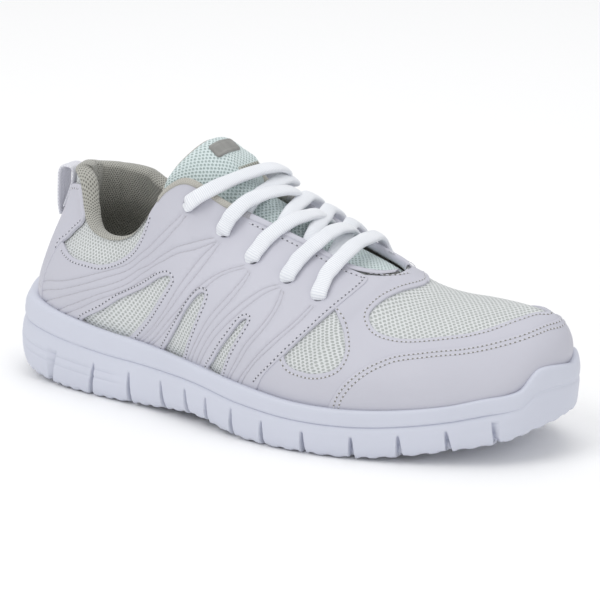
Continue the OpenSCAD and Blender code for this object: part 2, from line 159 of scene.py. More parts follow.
class Nodes:
    """Short hand for a node material: puts nodes in and links them."""

    def __init__(self, name, roughness, **sockets):
        self.mat = bpy.data.materials.new(name)
        self.mat.use_nodes = True
        self.tree = self.mat.node_tree
        self.bsdf = self.tree.nodes["Principled BSDF"]
        self.bsdf.inputs["Roughness"].default_value = roughness
        for key, value in sockets.items():
            self.bsdf.inputs[key.replace("_", " ")].default_value = value

    def put(self, kind, inputs=(), **settings):
        node = self.tree.nodes.new("ShaderNode" + kind)
        for key, value in settings.items():
            setattr(node, key, value)
        for key, value in dict(inputs).items():
            if isinstance(value, bpy.types.NodeSocket):
                self.tree.links.new(value, node.inputs[key])
            else:
                node.inputs[key].default_value = value
        return node

    def math(self, what, a, b=0.0, c=0.0):
        return self.put("Math", {0: a, 1: b, 2: c}, operation=what).outputs[0]

    def coords(self, flat=False):
        return self.put("TexCoord").outputs["UV" if flat else "Object"]

    def noise(self, where, scale, detail=3.0, rough=.5):
        return self.put("TexNoise", {"Vector": where, "Scale": scale, "Detail": detail,
                                     "Roughness": rough}).outputs["Fac"]

    def between(self, fac, low, high, out_low=0.0, out_high=1.0):
        return self.put("MapRange", {0: fac, 1: low, 2: high, 3: out_low, 4: out_high}).outputs[0]

    def mix(self, fac, a, b):
        node = self.tree.nodes.new("ShaderNodeMix")
        node.data_type = "RGBA"
        for key, value in ((0, fac), (6, a), (7, b)):
            if isinstance(value, bpy.types.NodeSocket):
                self.tree.links.new(value, node.inputs[key])
            else:
                node.inputs[key].default_value = value
        return node.outputs[2]

    def colour(self, socket):
        self.tree.links.new(socket, self.bsdf.inputs["Base Color"])

    def roughness(self, socket):
        self.tree.links.new(socket, self.bsdf.inputs["Roughness"])

    def bump(self, *layers):
        """Stacks (height, strength, distance) layers of relief."""
        last = None
        for height, strength, distance in layers:
            inputs = {"Height": height, "Strength": strength, "Distance": distance}
            if last is not None:
                inputs["Normal"] = last
            last = self.put("Bump", inputs).outputs[0]
        self.tree.links.new(last, self.bsdf.inputs["Normal"])

    def crease_shade_mask(self, low=.44, high=.5):
        """Mask for painted crease shade: 0 in creases, 1 on open faces and edges."""
        return self.between(self.put("NewGeometry").outputs["Pointiness"], low, high)


def foam_material(name, shade, deep):
    n = Nodes(name, .52, Specular_IOR_Level=.35)
    at = n.coords()
    cloud = n.noise(at, 22, 3)
    tone = n.mix(n.between(cloud, .3, .7), srgb(*shade), srgb(*(c * .985 for c in shade)))
    # painted shade: the foam takes the darker deep colour in its creases, standing for their shadow
    n.colour(n.mix(n.crease_shade_mask(.40, .49), srgb(*deep), tone))
    n.roughness(n.between(n.noise(at, 60, 4), .3, .7, .46, .58))
    n.bump((n.noise(at, 900, 2), .12, .0002), (n.noise(at, 90, 2), .10, .0006))
    return n.mat


# the last colour is painted shade for the foam's creases
foam = foam_material("moulded_foam", (207, 210, 222), (150, 155, 178))

# slots on the outer wall: station at the ground, station at its top, how far up it reaches
SLOTS = [[2.78, 3.02, .50], [3.75, 3.88, .52], [4.60, 4.62, .53], [5.36, 5.31, .53], [5.90, 5.86, .52],
         [6.33, 6.33, .52], [6.88, 6.88, .56], [7.45, 7.45, .52], [8.13, 8.12, .50], [8.84, 8.83, .50],
         [9.46, 9.44, .52], [10.08, 10.03, .52], [10.70, 10.62, .55]]
SLOT_HALF = 1.15
# wall from the lip against the upper to the ground: share of shelf, step out, share of height
WALL = [[0, -1, -.8, .985], [.03, -1, .25, 1.01], [.08, -.78, .9, 1.022], [.14, -.55, 1.35, .995],
        [.21, -.37, 1.15, .92], [.29, -.26, .75, .82], [.355, -.21, .45, .735], [.39, -.2, .1, .69],
        [.41, -.2, -.55, .668], [.43, -.2, -.15, .646], [.47, -.18, .35, .60], [.56, -.09, .45, .50],
        [.66, -.02, .25, .38], [.78, 0, .05, .24], [.87, 0, -.5, .12], [.94, 0, -1.5, .035], [1, 0, -3.2, 0]]


def spine(u):
    """Middle line of the sole that the stations of both sides run in to."""
    mid = (plan_at(u) + plan_at(LAP - np.asarray(u))) / 2
    x = np.clip(mid[..., 0], 30, 256)
    return np.stack([x, run([[0, 2], [40, -3], [95, -7.5], [151, -10], [181, -8.5], [212, -5.5], [244, -1.5],
                             [283, 4]], x)[..., 0]], -1)


def slot_cut(u, t):
    """How deep the flex slots cut at a station and a height share: 0 to 1."""
    k = side(u)
    cut = np.zeros(np.broadcast(k, t).shape)
    pace = np.linalg.norm(plan_at(np.asarray(u) + .05) - plan_at(np.asarray(u) - .05), axis=-1) / .1
    for low, top, reach in SLOTS:
        share = np.clip(t / reach, 0, 1)
        away = np.abs(k - (low + (top - low) * share)) * pace
        half = SLOT_HALF * (1.12 - .75 * share)
        fade = np.clip((1 - t / reach) / .12, 0, 1)
        cut = np.maximum(cut, fade * np.clip((half + .25 - away) / .5, 0, 1))
    return cut


def ground_lugs(u):
    return .55 * np.clip(.5 + 1.4 * np.cos(np.asarray(u) * 28 * 2 * math.pi / 7.0), 0, 1)


columns = set(np.round(np.arange(0, 12.0001, .04), 4))
for low, top, reach in SLOTS:
    pace = float(np.linalg.norm(plan_at(low + .05) - plan_at(low - .05)) / .1)
    for away in (-1.9, -1.55, -1.3, -1.05, -.8, -.5, 0, .5, .8, 1.05, 1.3, 1.55, 1.9):
        columns.add(round(low + away / pace, 4))
half_us = np.array(sorted(c for c in columns if 0 <= c <= 12))
sole_us = np.concatenate([half_us, LAP - half_us[-2:0:-1]])


def slanted(us, share):
    """Columns leaned so that they follow the slots up the wall."""
    k = side(us)
    lean = np.interp(k, [s[0] for s in SLOTS], [s[1] - s[0] for s in SLOTS], left=0, right=0)
    lean = lean * np.clip(np.minimum(k, 12 - k) / 1.0, 0, 1)
    return np.where(us <= 12, us + lean * share, us - lean * share)


points, flats = [], []
ts = np.unique(np.concatenate([np.linspace(0, 1, 60), np.linspace(.36, .46, 15)]))
for t in ts:
    f, step, share = run(WALL, t)
    us = slanted(sole_us, float(np.clip(share / .52, 0, 1)))
    lv, sh, out, p = levels(us), shelf(us), outward(us), plan_at(us)
    cut = slot_cut(us, np.full(len(us), max(share, 0)))
    bumper = run([[0, 0], [10.6, 0], [11.4, 1], [12, 1.1]], side(us))[...,
                                                                      0] * np.exp(-((share - .72) / .25)**2)
    blocks = .35 * np.clip((.55 - share) / .1, 0, 1) * np.clip((4.6 - side(us)) / .4, 0, 1) * (
        np.exp(-((share - .42) / .018)**2) + np.exp(-((share - .30) / .018)**2))
    plain_toe = .6 * np.exp(-((share - .668) / .022)**2) * np.clip((side(us) - 10.5) / .5, 0, 1)
    o = f * sh + step + bumper + plain_toe - blocks - cut * (3.4 * np.clip((.56 - share) / .3, .35, 1))
    xy = p + out * o[:, None]
    z = lv[:, 0] + (lv[:, 1] + run(BUMPER, side(us))[:, 0] - lv[:, 0]) * share
    z = z + ground_lugs(us) * np.clip((.12 - share) / .1, 0, 1)
    points.append(np.column_stack([xy, z]))
    flats.append(np.column_stack([us * 28, z]))
# underside: from the rounded ground edge in to the spine
for q in (0.03, .07, .11, .14, .17, .2, .26, .32, .38, .42, .45, .47, .50, .52, .55, .60, .68, .78, .88,
          .95, 1):
    us = slanted(sole_us, 0)
    lv, out, p = levels(us), outward(us), plan_at(us)
    edge = p - out * 3.2
    xy = edge + (spine(us) - edge) * q
    rise = run([[0, 6], [30, 3.5], [60, 1.2], [95, 2.4], [125, 4], [150, 2.6], [181, 1], [212, 1.2],
                [244, 5],
                [283, 12]], xy[:, 0])[..., 0]
    z = lv[:, 0] * (1 - q) ** 2 + rise * (1 - (1 - q) ** 2)
    cut = slot_cut(us, np.zeros(len(us)))
    inner = np.clip((q - .17) / .03, 0, 1)
    lane = np.exp(-((q - .485) / .035)**2)
    z = np.maximum(z, 0) + inner * 2.0 + np.maximum(cut, lane * inner) * 2.6
    z = z + ground_lugs(us) * np.clip((.2 - q) / .05, 0, 1)
    points.append(np.column_stack([xy, z]))
    flats.append(np.column_stack([xy]))
grid = np.concatenate(points)
n_cols = len(sole_us)
midsole = add_mesh("midsole", grid, grid_faces(len(points), n_cols, wrap=True), np.concatenate(flats) * MM,
                   foam)
# the cup inside: from the lip down to the bed
cup_rows = []
for f, down in ((0, .5), (1.5, .9), (4.6, .9), (5.2, 3), (5.6, 99)):
    us = sole_us
    lv = levels(us)
    z = lv[:, 1] + run(BUMPER, side(us))[:, 0] - down if down < 50 else lv[:, 2] - .2
    cup_rows.append(np.column_stack([plan_at(us) - outward(us) * (shelf(us) + f)[:, None], z]))
cup = np.concatenate(cup_rows)
midsole_cup = add_mesh("midsole_cup", cup, grid_faces(len(cup_rows), n_cols, wrap=True)[:, ::-1],
                       cup[:, :2] * MM, foam)
for piece in (midsole, midsole_cup):
    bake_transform(piece)
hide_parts("midsole_rear", "midsole_front")

# ---------------------------------------------------------------------------
# Tread pads. Harder rubber pads let in to the underside at the heel, the ball
# and the toe, with low cross ribs moulded in them.
# ---------------------------------------------------------------------------
n = Nodes("rubber_tread", .6, Specular_IOR_Level=.4)
at = n.coords()
# painted shade: the rubber takes the darker (150, 154, 172) in its creases, standing for their shadow
n.colour(n.mix(n.crease_shade_mask(.42, .5), srgb(150, 154, 172), n.mix(n.between(n.noise(at, 40), .3, .7),
         srgb(214, 217, 228), srgb(205, 208, 220))))
n.roughness(n.between(n.noise(at, 300, 3), .3, .7, .5, .72))
n.bump((n.noise(at, 1400, 2), .25, .0002))
rubber = n.mat


def tread_pad(name, us, inner_us, body, low=None):
    """A pad over a run of outer stations and its matching inner ones."""
    rows = []
    ps = np.linspace(0, 1, 61)
    qs = np.concatenate([[0], np.linspace(0, 1, 61), [1]])
    outer = np.array([plan_at(np.interp(p, [0, 1], us)) - outward(np.interp(p, [0, 1], us)) * 7 for p in ps])
    inner = np.array([plan_at(np.interp(p, [0, 1], inner_us)) - outward(np.interp(p, [0, 1],
                                                                                  inner_us)) * 7 for p in ps])
    uo = np.interp(ps, [0, 1], us)
    zs = levels(uo)[:, 0]
    for i, q in enumerate(qs):
        xy = outer + (inner - outer) * q
        ends = np.minimum(np.minimum(ps, 1 - ps) * 60, min(q, 1 - q) * 60)
        soft = np.clip(ends / 1.0, 0, 1)
        rib = .5 * (.5 + .5 * np.cos(xy[:, 0] * 2 * math.pi / 5.2 + 2.2 * np.abs(q - .5) * 6)) ** .5
        lane = .8 * np.exp(-((q - .5) / .02)**2)
        z = zs + (1 - soft) * 1.6 + rib + lane if i not in (0, len(qs) - 1) else zs + 3.4
        z = np.where((ps <= 0) | (ps >= 1), zs + 3.4, z)
        rows.append(np.column_stack([xy, z]))
    pad = np.concatenate(rows)
    obj = add_mesh(name, pad, grid_faces(len(rows), len(ps)), pad[:, :2] * MM, rubber)
    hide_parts(name)
    if body:
        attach(obj, body)
    return obj


tread_pad("tread_heel", (3.02, 4.58), (20.98, 19.42), "rear")
tread_pad("tread_ball", (7.22, 8.58), (16.78, 15.42), "rear")
tread_pad("tread_flex", (8.95, 9.25), (15.05, 14.75), "forefoot")
tread_pad("tread_toe", (9.52, 11.6), (14.48, 12.4), "forefoot")

# ---------------------------------------------------------------------------
# Sock board and insole. The upper is sewn to a thin board; over it lies a foam
# insole with a grey knitted top that dishes up at the edges.
# ---------------------------------------------------------------------------


def knit_material(name, shade, holes, pitch, depth=.0004, hole=.30, soften=.12, sheen=.25):
    """Open knit: staggered oval holes between white yarns, laid in flat coordinates; the holes are painted darker as
    their shade.
    """
    n = Nodes(name, .75, Sheen_Weight=sheen, Specular_IOR_Level=.25)
    n.bsdf.inputs["Sheen Roughness"].default_value = .5
    flat = n.put("SeparateXYZ", {0: n.coords(flat=True)})
    wobble = n.math("MULTIPLY", n.math("SUBTRACT", n.noise(n.coords(), 260, 1), .5), .35)
    x = n.math("ADD", n.math("MULTIPLY", flat.outputs[0], 1 / pitch), wobble)
    y = n.math("ADD", n.math("MULTIPLY", flat.outputs[1], 1 / (pitch * .62)), wobble)
    row = n.math("FLOOR", y)
    shift = n.math("MULTIPLY", n.math("FLOORED_MODULO", row, 2.0), .5)
    dx = n.math("SUBTRACT", n.math("FRACT", n.math("ADD", x, shift)), .5)
    dy = n.math("MULTIPLY", n.math("SUBTRACT", n.math("FRACT", y), .5), .72)
    r = n.math("SQRT", n.math("ADD", n.math("MULTIPLY", dx, dx), n.math("MULTIPLY", dy, dy)))
    yarn = n.put("MapRange", {0: r, 1: hole - soften, 2: hole + soften, 3: 0.0, 4: 1.0},
                 interpolation_type="SMOOTHSTEP").outputs[0]
    cloud = n.between(n.noise(n.coords(), 45, 3), .3, .7)
    tone = n.mix(cloud, srgb(*shade), srgb(*(c * .975 for c in shade)))
    fibre = n.noise(n.coords(), 5200, 2)
    tone = n.mix(n.between(fibre, .35, .65, 0, .25), tone, srgb(*(c * .90 for c in shade)))
    # painted shade: the holes take a darker colour, standing for the shade inside them
    n.colour(n.mix(yarn, srgb(*holes), tone))
    n.bump((yarn, .8, depth), (fibre, .25, .0002))
    return n.mat


grey_knit = knit_material("insole_knit", (176, 176, 168), (120, 120, 112), .0013, .0002, .22, .2)
bed_rows = []
for q, up in ((0, 5.2), (.02, 4.4), (.06, 3.6), (.14, 3.1), (.3, 2.9), (.6, 2.9), (1, 2.9)):
    us = sole_us[::2]
    edge = plan_at(us) - outward(us) * (shelf(us) + 6.2)[:, None]
    xy = edge + (spine(us) - edge) * q
    mid = run([[30, 28], [67, 25], [95, 23.4], [123, 21.5], [151, 19], [181, 17], [212, 17], [244, 20.5],
               [258, 23.5]], xy[:, 0])[:, 0]
    lv = levels(us)[:, 2]
    bed_rows.append(np.column_stack([xy, lv + (mid - lv) * min(1, q * 1.4) + up]))
bed = np.concatenate(bed_rows)
insole = add_mesh("insole", bed, grid_faces(len(bed_rows), len(sole_us[::2]), wrap=True), bed[:, :2] * MM,
                  grey_knit)
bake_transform(insole)
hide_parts("insole_rear", "insole_front", "strobel_rear", "strobel_front")

# ---------------------------------------------------------------------------
# Air mesh shell. The whole upper is one layer of white open mesh on the last;
# it shows in the windows of the side, over the toe and round the ankle.
# ---------------------------------------------------------------------------
RIM = [[0, 28, 0, 96], [1, 31.5, -9.5, 96], [1.6, 37, -13.5, 92.5], [2, 40.5, -16.8, 85.5],
       [2.5, 45, -21, 78],
       [3, 51.5, -24.7, 73.5], [3.5, 60, -27, 71.5],
       [4, 69.5, -28, 72.3], [4.5, 78, -28.5, 77], [5, 87, -28, 88.5], [5.3, 94, -25.5, 98.5],
       [5.6, 103.5, -22.5, 102.5], [6, 121, -20, 94], [6.5, 142, -18, 87], [7, 163, -16.5, 80],
       [7.4, 181, -15, 73], [7.7, 194, -10, 70.5], [8, 202, 0, 70.5]]
RIM_IN = [[0, 28, 0, 96], [1, 28, 10, 94.5], [2, 37, 20.5, 93], [3, 51, 26.5, 91], [3.5, 60, 28, 86],
          [4, 70, 28.5, 82], [4.5, 79, 28.5, 82.5], [5, 88, 27, 89], [5.3, 95, 24.5, 97.5],
          [5.6, 104, 22, 102], [6, 121, 19.5, 94], [6.5, 142, 17.5, 87], [7, 163, 16, 80],
          [7.4, 181, 14.5, 73.5], [7.7, 194, 10, 70.5], [8, 202, 0, 70.5]]
CREST = [[8, 202, 0, 70.5], [8.6, 212, 1, 65.8], [9.3, 224, 2, 63.3], [10, 236, 3, 62.9], [11, 251, 4, 62.6],
         [12, 262.5, 4, 62]]
BULGE = [[0, 1, 20, -3, 18], [1, 2.5, 20, -1, 18], [2, 2.5, 18, 0, 16], [3, 4, 16, 3, 13], [4, 4, 16, 4, 12],
         [5, 5, 20, 4, 16], [6, 5, 22, 7, 15], [7, 5, 22, 12, 9], [7.6, 5, 20, 18, 4], [8, 5, 19.5, 24, 2],
         [9, 5, 18, 24.5, 1], [10, 4, 16, 22, 0], [11, 4.5, 13, 16, 0], [12, 2.5, 11, 12, 0]]


def rim(u):
    k, lat = side(u), (np.asarray(u, float) % LAP) <= 12
    low = np.where(lat[..., None], run(RIM, k), run(RIM_IN, k))
    return np.where((k >= 8)[..., None], run(CREST, k), low)


def crest_slope(k):
    a, b = run(CREST, np.maximum(k - .2, 8)), run(CREST, np.minimum(k + .2, 12))
    return np.where(k < 8, 0, (b[..., 2] - a[..., 2]) / np.maximum(b[..., 0] - a[..., 0], 1e-6))


def upper(u, v):
    """Outer face of the upper: v runs from 0 at the sole to 1 at the top edge."""
    u, v = np.broadcast_arrays(np.asarray(u, float), np.asarray(v, float))
    k = side(u)
    h, n, top = run(BULGE, k), outward(u), rim(u)
    low = plan_at(u) - n * shelf(u)[..., None]
    foot = np.concatenate([low, levels(u)[..., 1:2]], -1)
    p = foot + np.stack([n[..., 0] * h[..., 0], n[..., 1] * h[..., 0], h[..., 1]], -1)
    q = top + np.stack([n[..., 0] * h[..., 2], n[..., 1] * h[..., 2],
                        crest_slope(k) * n[..., 0] * h[..., 2] - h[..., 3]], -1)
    v = v[..., None]
    w = 1 - v
    return w**3 * foot + 3 * w * w * v * p + 3 * w * v * v * q + v**3 * top


def facing(u, v):
    u, v = np.broadcast_arrays(np.asarray(u, float), np.asarray(v, float))
    k, e = side(u), .02
    a, b = np.clip(v - e, -.05, 1), np.clip(v + e, -.03, 1)
    n = unit(np.cross(upper(u + e, v) - upper(u - e, v), upper(u, b) - upper(u, a)))
    top = unit(np.stack([-crest_slope(k), 0 * k, 1 + 0 * k], -1))
    return np.where(((k >= 8) & (v > .999))[..., None], top, n)


def skin_at(u, v, depth):
    return upper(u, v) - facing(u, v) * np.asarray(depth, float)[..., None]


U_TABLE = np.linspace(0, LAP, 481)
mid_line = upper(U_TABLE, np.full(481, .5))
SPAN = np.concatenate([[0], np.cumsum(np.linalg.norm(np.diff(mid_line, axis=0), axis=1))])
V_TABLE = np.linspace(-.06, 1, 54)
LENGTHS = np.stack([upper(U_TABLE, np.full(481, v)) for v in V_TABLE], 1)
LENGTHS = np.concatenate([np.zeros((481, 1)),
                          np.cumsum(np.linalg.norm(np.diff(LENGTHS, axis=1), axis=2), axis=1)], 1)


def up_length(u, v):
    """Length along the surface from the sole joint up to v."""
    s = (np.asarray(u, float) % LAP) * 20
    i = np.clip(np.floor(s).astype(int), 0, 479)
    f = s - i
    j = np.clip((np.asarray(v, float) + .06) / .02, 0, 52.999)
    c = np.floor(j).astype(int)
    g = j - c
    a = LENGTHS[i, c] * (1 - g) + LENGTHS[i, c + 1] * g
    b = LENGTHS[i + 1, c] * (1 - g) + LENGTHS[i + 1, c + 1] * g
    return a * (1 - f) + b * f


def flat_side(u, v):
    """Unrolled side of the shoe in millimetres."""
    u = np.asarray(u, float)
    lap = np.floor(u / LAP)
    return np.stack([np.interp(u - lap * LAP, U_TABLE, SPAN) + lap * SPAN[-1], up_length(u, v)], -1)


def flat_vamp(u, v):
    """Unrolled front of the shoe, seen from above, continuous over the crest and round the toe."""
    top = rim(u)[..., :2]
    away = unit(plan_at(u) - top)
    return top + away * (up_length(u, np.ones_like(np.asarray(v, float))) - up_length(u, v))[..., None]


VAMP_TABLE = np.array([(u, v) for u in np.arange(6.6, 17.41, .06) for v in np.arange(-.06, 1.001, .02)])
vamp_tree = kdtree.KDTree(len(VAMP_TABLE))
for i, (x, y) in enumerate(flat_vamp(VAMP_TABLE[:, 0], VAMP_TABLE[:, 1])):
    vamp_tree.insert((x, y, 0), i)
vamp_tree.balance()


def fold_vamp(xy):
    """Station and height of points on the unrolled front."""
    uv = VAMP_TABLE[[vamp_tree.find((x, y, 0))[1] for x, y in xy]].copy()
    near_side = uv[:, 0] <= 12
    for _ in range(4):
        e = 1e-3
        here = flat_vamp(uv[:, 0], uv[:, 1])
        ju = (flat_vamp(uv[:, 0] + e, uv[:, 1]) - here) / e
        jv = (here - flat_vamp(uv[:, 0], uv[:, 1] - e)) / e
        miss = xy - here
        det = ju[:, 0] * jv[:, 1] - ju[:, 1] * jv[:, 0]
        det = np.where(np.abs(det) < 1, np.copysign(1, det), det)
        du = (miss[:, 0] * jv[:, 1] - miss[:, 1] * jv[:, 0]) / det
        dv = (ju[:, 0] * miss[:, 1] - ju[:, 1] * miss[:, 0]) / det
        uv = uv + np.stack([np.clip(du, -.15, .15), np.clip(dv, -.05, .05)], 1)
        uv[:, 1] = np.clip(uv[:, 1], -.06, 1)
        uv[:, 0] = np.where(near_side, np.minimum(uv[:, 0], 12), np.maximum(uv[:, 0], 12))
    return uv


mesh_white = knit_material("air_mesh", (222, 225, 225), (176, 181, 178), .0023, .0005, .25, .13)
shell_us = np.arange(0, LAP, .06)
shell_vs = np.linspace(-.03, 1, 44)
uu, vv = np.meshgrid(shell_vs, shell_us)[::-1]
shell = skin_at(uu, vv, np.full(uu.shape, 1.12)).reshape(-1, 3)
shell_faces = np.concatenate([grid_faces(len(shell_us), 44), [
    [399 * 44 + j, j, j + 1, 399 * 44 + j + 1] for j in range(43)]])
joined = np.arange(len(shell))
for i in range(201, 267):
    joined[i * 44 + 43] = (400 - i) * 44 + 43
air_mesh = add_mesh("air_mesh", shell, joined[shell_faces], None, mesh_white)
data = air_mesh.data
layer = data.uv_layers.new(name="UVMap")
side_flat = flat_side(uu, vv).reshape(-1, 2)
toe_flat = np.column_stack([shell[:, 0], shell[:, 1] * 1.12])
kk, ww = side(uu).ravel(), vv.ravel()
for poly in data.polygons:
    toe = min(kk[i] for i in poly.vertices) > 8.44 or (
        min(kk[i] for i in poly.vertices) > 8.1 and min(ww[i] for i in poly.vertices) > .58)
    for li, vi in zip(poly.loop_indices, poly.vertices):
        layer.data[li].uv = (toe_flat if toe else side_flat)[vi] * MM
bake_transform(air_mesh)
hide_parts("mesh_lateral", "mesh_medial", "mesh_vamp", "mesh_toe")

# ---------------------------------------------------------------------------
# Vamp overlay. Thin lilac-white synthetic leather, cut in one piece that runs
# across the front of the throat, round the toe window and down to the sole. All
# the overlays are laid on the mesh and sewn along their edges.
# ---------------------------------------------------------------------------


def leather_material(name, shade, crease_shade, gloss=.5):
    n = Nodes(name, gloss, Specular_IOR_Level=.38)
    at = n.coords()
    cloud = n.noise(at, 18, 4)
    tone = n.mix(n.between(cloud, .3, .7), srgb(*shade), srgb(*(c * .975 for c in shade)))
    # painted shade: the leather takes a darker colour in its creases, standing for their shadow
    n.colour(n.mix(n.crease_shade_mask(.43, .495), srgb(*crease_shade), tone))
    n.roughness(n.between(n.noise(at, 130, 3), .3, .7, gloss - .07, gloss + .08))
    grain = n.put("TexVoronoi", {"Vector": at, "Scale": 1500.0}, feature="DISTANCE_TO_EDGE").outputs[0]
    n.bump((n.between(grain, 0, .12), .10, .0001), (n.noise(at, 420, 3), .12, .0002),
           (n.noise(at, 35, 2), .12, .0012))
    return n.mat


# the second colour is painted shade for the leather's creases
leather = leather_material("smooth_leather", (198, 198, 208), (158, 155, 158))


def curve(points, flat, pitch, closed=True):
    """Smooth line through (station, height) points, evenly spaced on the flat."""
    p = np.asarray(points, float)
    if closed:
        q = np.vstack([p, p[:1]])
    else:
        q = p
    xy = flat(q[:, 0], q[:, 1])
    s = np.concatenate([[0], np.cumsum(np.maximum(np.linalg.norm(np.diff(xy, axis=0), axis=1), .01))])
    over = flat is flat_vamp
    if over:
        p = xy[:-1] if closed else xy
    rows = loop_rows(np.column_stack([s[:-1], p]), s[-1]) if closed else np.column_stack([s, p])
    fine = run(rows, np.linspace(0, s[-1], max(int(s[-1] / .25), 8)))
    xy = fine if over else flat(fine[:, 0], fine[:, 1])
    along = np.concatenate([[0], np.cumsum(np.linalg.norm(np.diff(xy, axis=0), axis=1))])
    count = max(int(along[-1] / pitch), 4)
    marks = np.linspace(0, along[-1], count + 1)[:count + (0 if closed else 1)]
    even = np.stack([np.interp(marks, along, fine[:, i]) for i in (0, 1)], 1)
    return fold_vamp(even) if over else even


def beside(uv, flat, gap, closed=True):
    """The line moved sideways by gap millimetres, to the left of its run."""
    xy = flat(uv[:, 0], uv[:, 1])
    d = (np.roll(xy, -1, 0) - np.roll(xy, 1, 0)) if closed else np.gradient(xy, axis=0)
    left = unit(np.stack([-d[:, 1], d[:, 0]], 1)) * gap
    if flat is flat_vamp:
        return fold_vamp(xy + left)
    e = 1e-3
    ju = (flat(uv[:, 0] + e, uv[:, 1]) - flat(uv[:, 0] - e, uv[:, 1])) / (2 * e)
    jv = (flat(uv[:, 0], uv[:, 1] + e) - flat(uv[:, 0], uv[:, 1] - e)) / (2 * e)
    det = ju[:, 0] * jv[:, 1] - ju[:, 1] * jv[:, 0]
    du = (left[:, 0] * jv[:, 1] - left[:, 1] * jv[:, 0]) / det
    dv = (ju[:, 0] * left[:, 1] - ju[:, 1] * left[:, 0]) / det
    return uv + np.stack([du, dv], 1)


def area(xy):
    x, y = xy[:, 0], xy[:, 1]
    return .5 * np.sum(x * np.roll(y, -1) - y * np.roll(x, -1))


def inside(points, ring):
    """Which points lie inside a closed line."""
    x, y = points[:, 0:1], points[:, 1:2]
    a, b = ring, np.roll(ring, -1, 0)
    cross = (a[:, 1] > y) != (b[:, 1] > y)
    with np.errstate(divide="ignore", invalid="ignore"):
        at = (b[:, 0] - a[:, 0]) * (y - a[:, 1]) / (b[:, 1] - a[:, 1]) + a[:, 0]
    return (cross & (x < at)).sum(1) % 2 == 1


def tree_of(xy):
    tree = kdtree.KDTree(len(xy))
    for i, p in enumerate(xy):
        tree.insert((p[0], p[1], 0), i)
    tree.balance()
    return tree


def near(tree, xy):
    return np.array([tree.find((p[0], p[1], 0))[2] for p in xy])


EDGE = [(.12, .17), (.32, .06), (.6, 0)]


def panel(name, flat, outline, windows=(), lines=(), lift=0.0, skirt=1.3, step=1.7, material=None, pitch=.8):
    """A sheet on the upper: smooth outline and windows, rounded cut edges, pressed lines."""
    loops = []
    for k, pts in enumerate([outline] + list(windows)):
        uv = curve(pts, flat, pitch if k == 0 or len(pts) > 9 else pitch * .7)
        xy = flat(uv[:, 0], uv[:, 1])
        if (area(xy) > 0) != (k == 0):
            uv, xy = uv[::-1], xy[::-1]
        loops.append((uv, xy))
    rims = np.vstack([xy for uv, xy in loops])
    rim_tree = tree_of(rims)
    uvs, heights, edges, base = [], [], [], 0
    for uv, xy in loops:
        n = len(uv)
        uvs.append(uv)
        heights.append(np.full(n, -.36))
        edges += [(base + i, base + (i + 1) % n) for i in range(n)]
        base += n
    for uv, xy in loops:
        for gap, drop in EDGE:
            ring_uv = beside(uv, flat, gap)
            keep = near(rim_tree, flat(ring_uv[:, 0], ring_uv[:, 1])) > gap * .8
            uvs.append(ring_uv[keep])
            heights.append(np.full(keep.sum(), -drop))
    for pts, depth in lines:
        mid = curve(pts, flat, .9, closed=False)
        for gap, share in ((0, 1), (.28, .62), (-.28, .62), (.6, .08), (-.6, .08)):
            row = beside(mid, flat, gap, closed=False) if gap else mid
            keep = near(rim_tree, flat(row[:, 0], row[:, 1])) > 1.0
            uvs.append(row[keep])
            heights.append(np.full(keep.sum(), -depth * share))
    laid = np.vstack(uvs)
    laid_xy = flat(laid[:, 0], laid[:, 1])
    tree = tree_of(laid_xy)
    (u0, v0), (u1, v1) = loops[0][0].min(0), loops[0][0].max(0)
    gu, gv = np.meshgrid(np.arange(u0, u1, step / 28), np.arange(v0, v1, step / 58), indexing="ij")
    gv = gv + (np.arange(gu.shape[0]) % 2)[:, None] * step / 116
    fill = np.column_stack([gu.ravel(), gv.ravel()])
    fill_xy = flat(fill[:, 0], fill[:, 1])
    keep = inside(fill_xy, loops[0][1])
    for uv, xy in loops[1:]:
        keep &= ~inside(fill_xy, xy)
    fill, fill_xy = fill[keep], fill_xy[keep]
    keep = near(tree, fill_xy) > .75
    if flat is flat_vamp:
        keep &= fill[:, 1] <= .985
    fill = fill[keep]
    uvs.append(fill)
    heights.append(np.zeros(len(fill)))
    uv = np.vstack(uvs)
    height = np.concatenate(heights)
    xy = flat(uv[:, 0], uv[:, 1])
    got = delaunay_2d_cdt([Vector(p) for p in xy.tolist()], edges, [], 0, 1e-6, True)
    origin = np.array([o[0] if o else -1 for o in got[3]])
    tris = np.array([f for f in got[2] if len(f) == 3])
    out_xy = np.array([tuple(p) for p in got[0]])
    centre = out_xy[tris].mean(1)
    ok = inside(centre, loops[0][1])
    for _, hole in loops[1:]:
        ok &= ~inside(centre, hole)
    tris = origin[tris[ok]]
    tris = tris[(tris >= 0).all(1)]
    pos = skin_at(uv[:, 0], uv[:, 1], -(height + lift))
    faces = tris.tolist()
    # turn the sheet's faces outward
    a, b, c = (pos[tris[:, i]] for i in range(3))
    ahead = np.einsum("ij,ij->i", np.cross(b - a, c - a), facing(uv[tris[:, 0], 0], uv[tris[:, 0], 1]))
    faces = [f if s > 0 else f[::-1] for f, s in zip(faces, ahead)]
    base, start, extra = 0, len(pos), []
    for ring_uv, ring_xy in loops:
        n = len(ring_uv)
        extra.append(skin_at(ring_uv[:, 0], ring_uv[:, 1], np.full(n, skirt)))
        faces += [[base + (i + 1) % n, base + i, start + i, start + (i + 1) % n] for i in range(n)]
        base += n
        start += n
    pos = np.vstack([pos] + extra)
    flat_uv = np.vstack([xy] + [r[1] for r in loops]) * MM
    obj = add_mesh(name, pos, faces, flat_uv, material)
    return obj


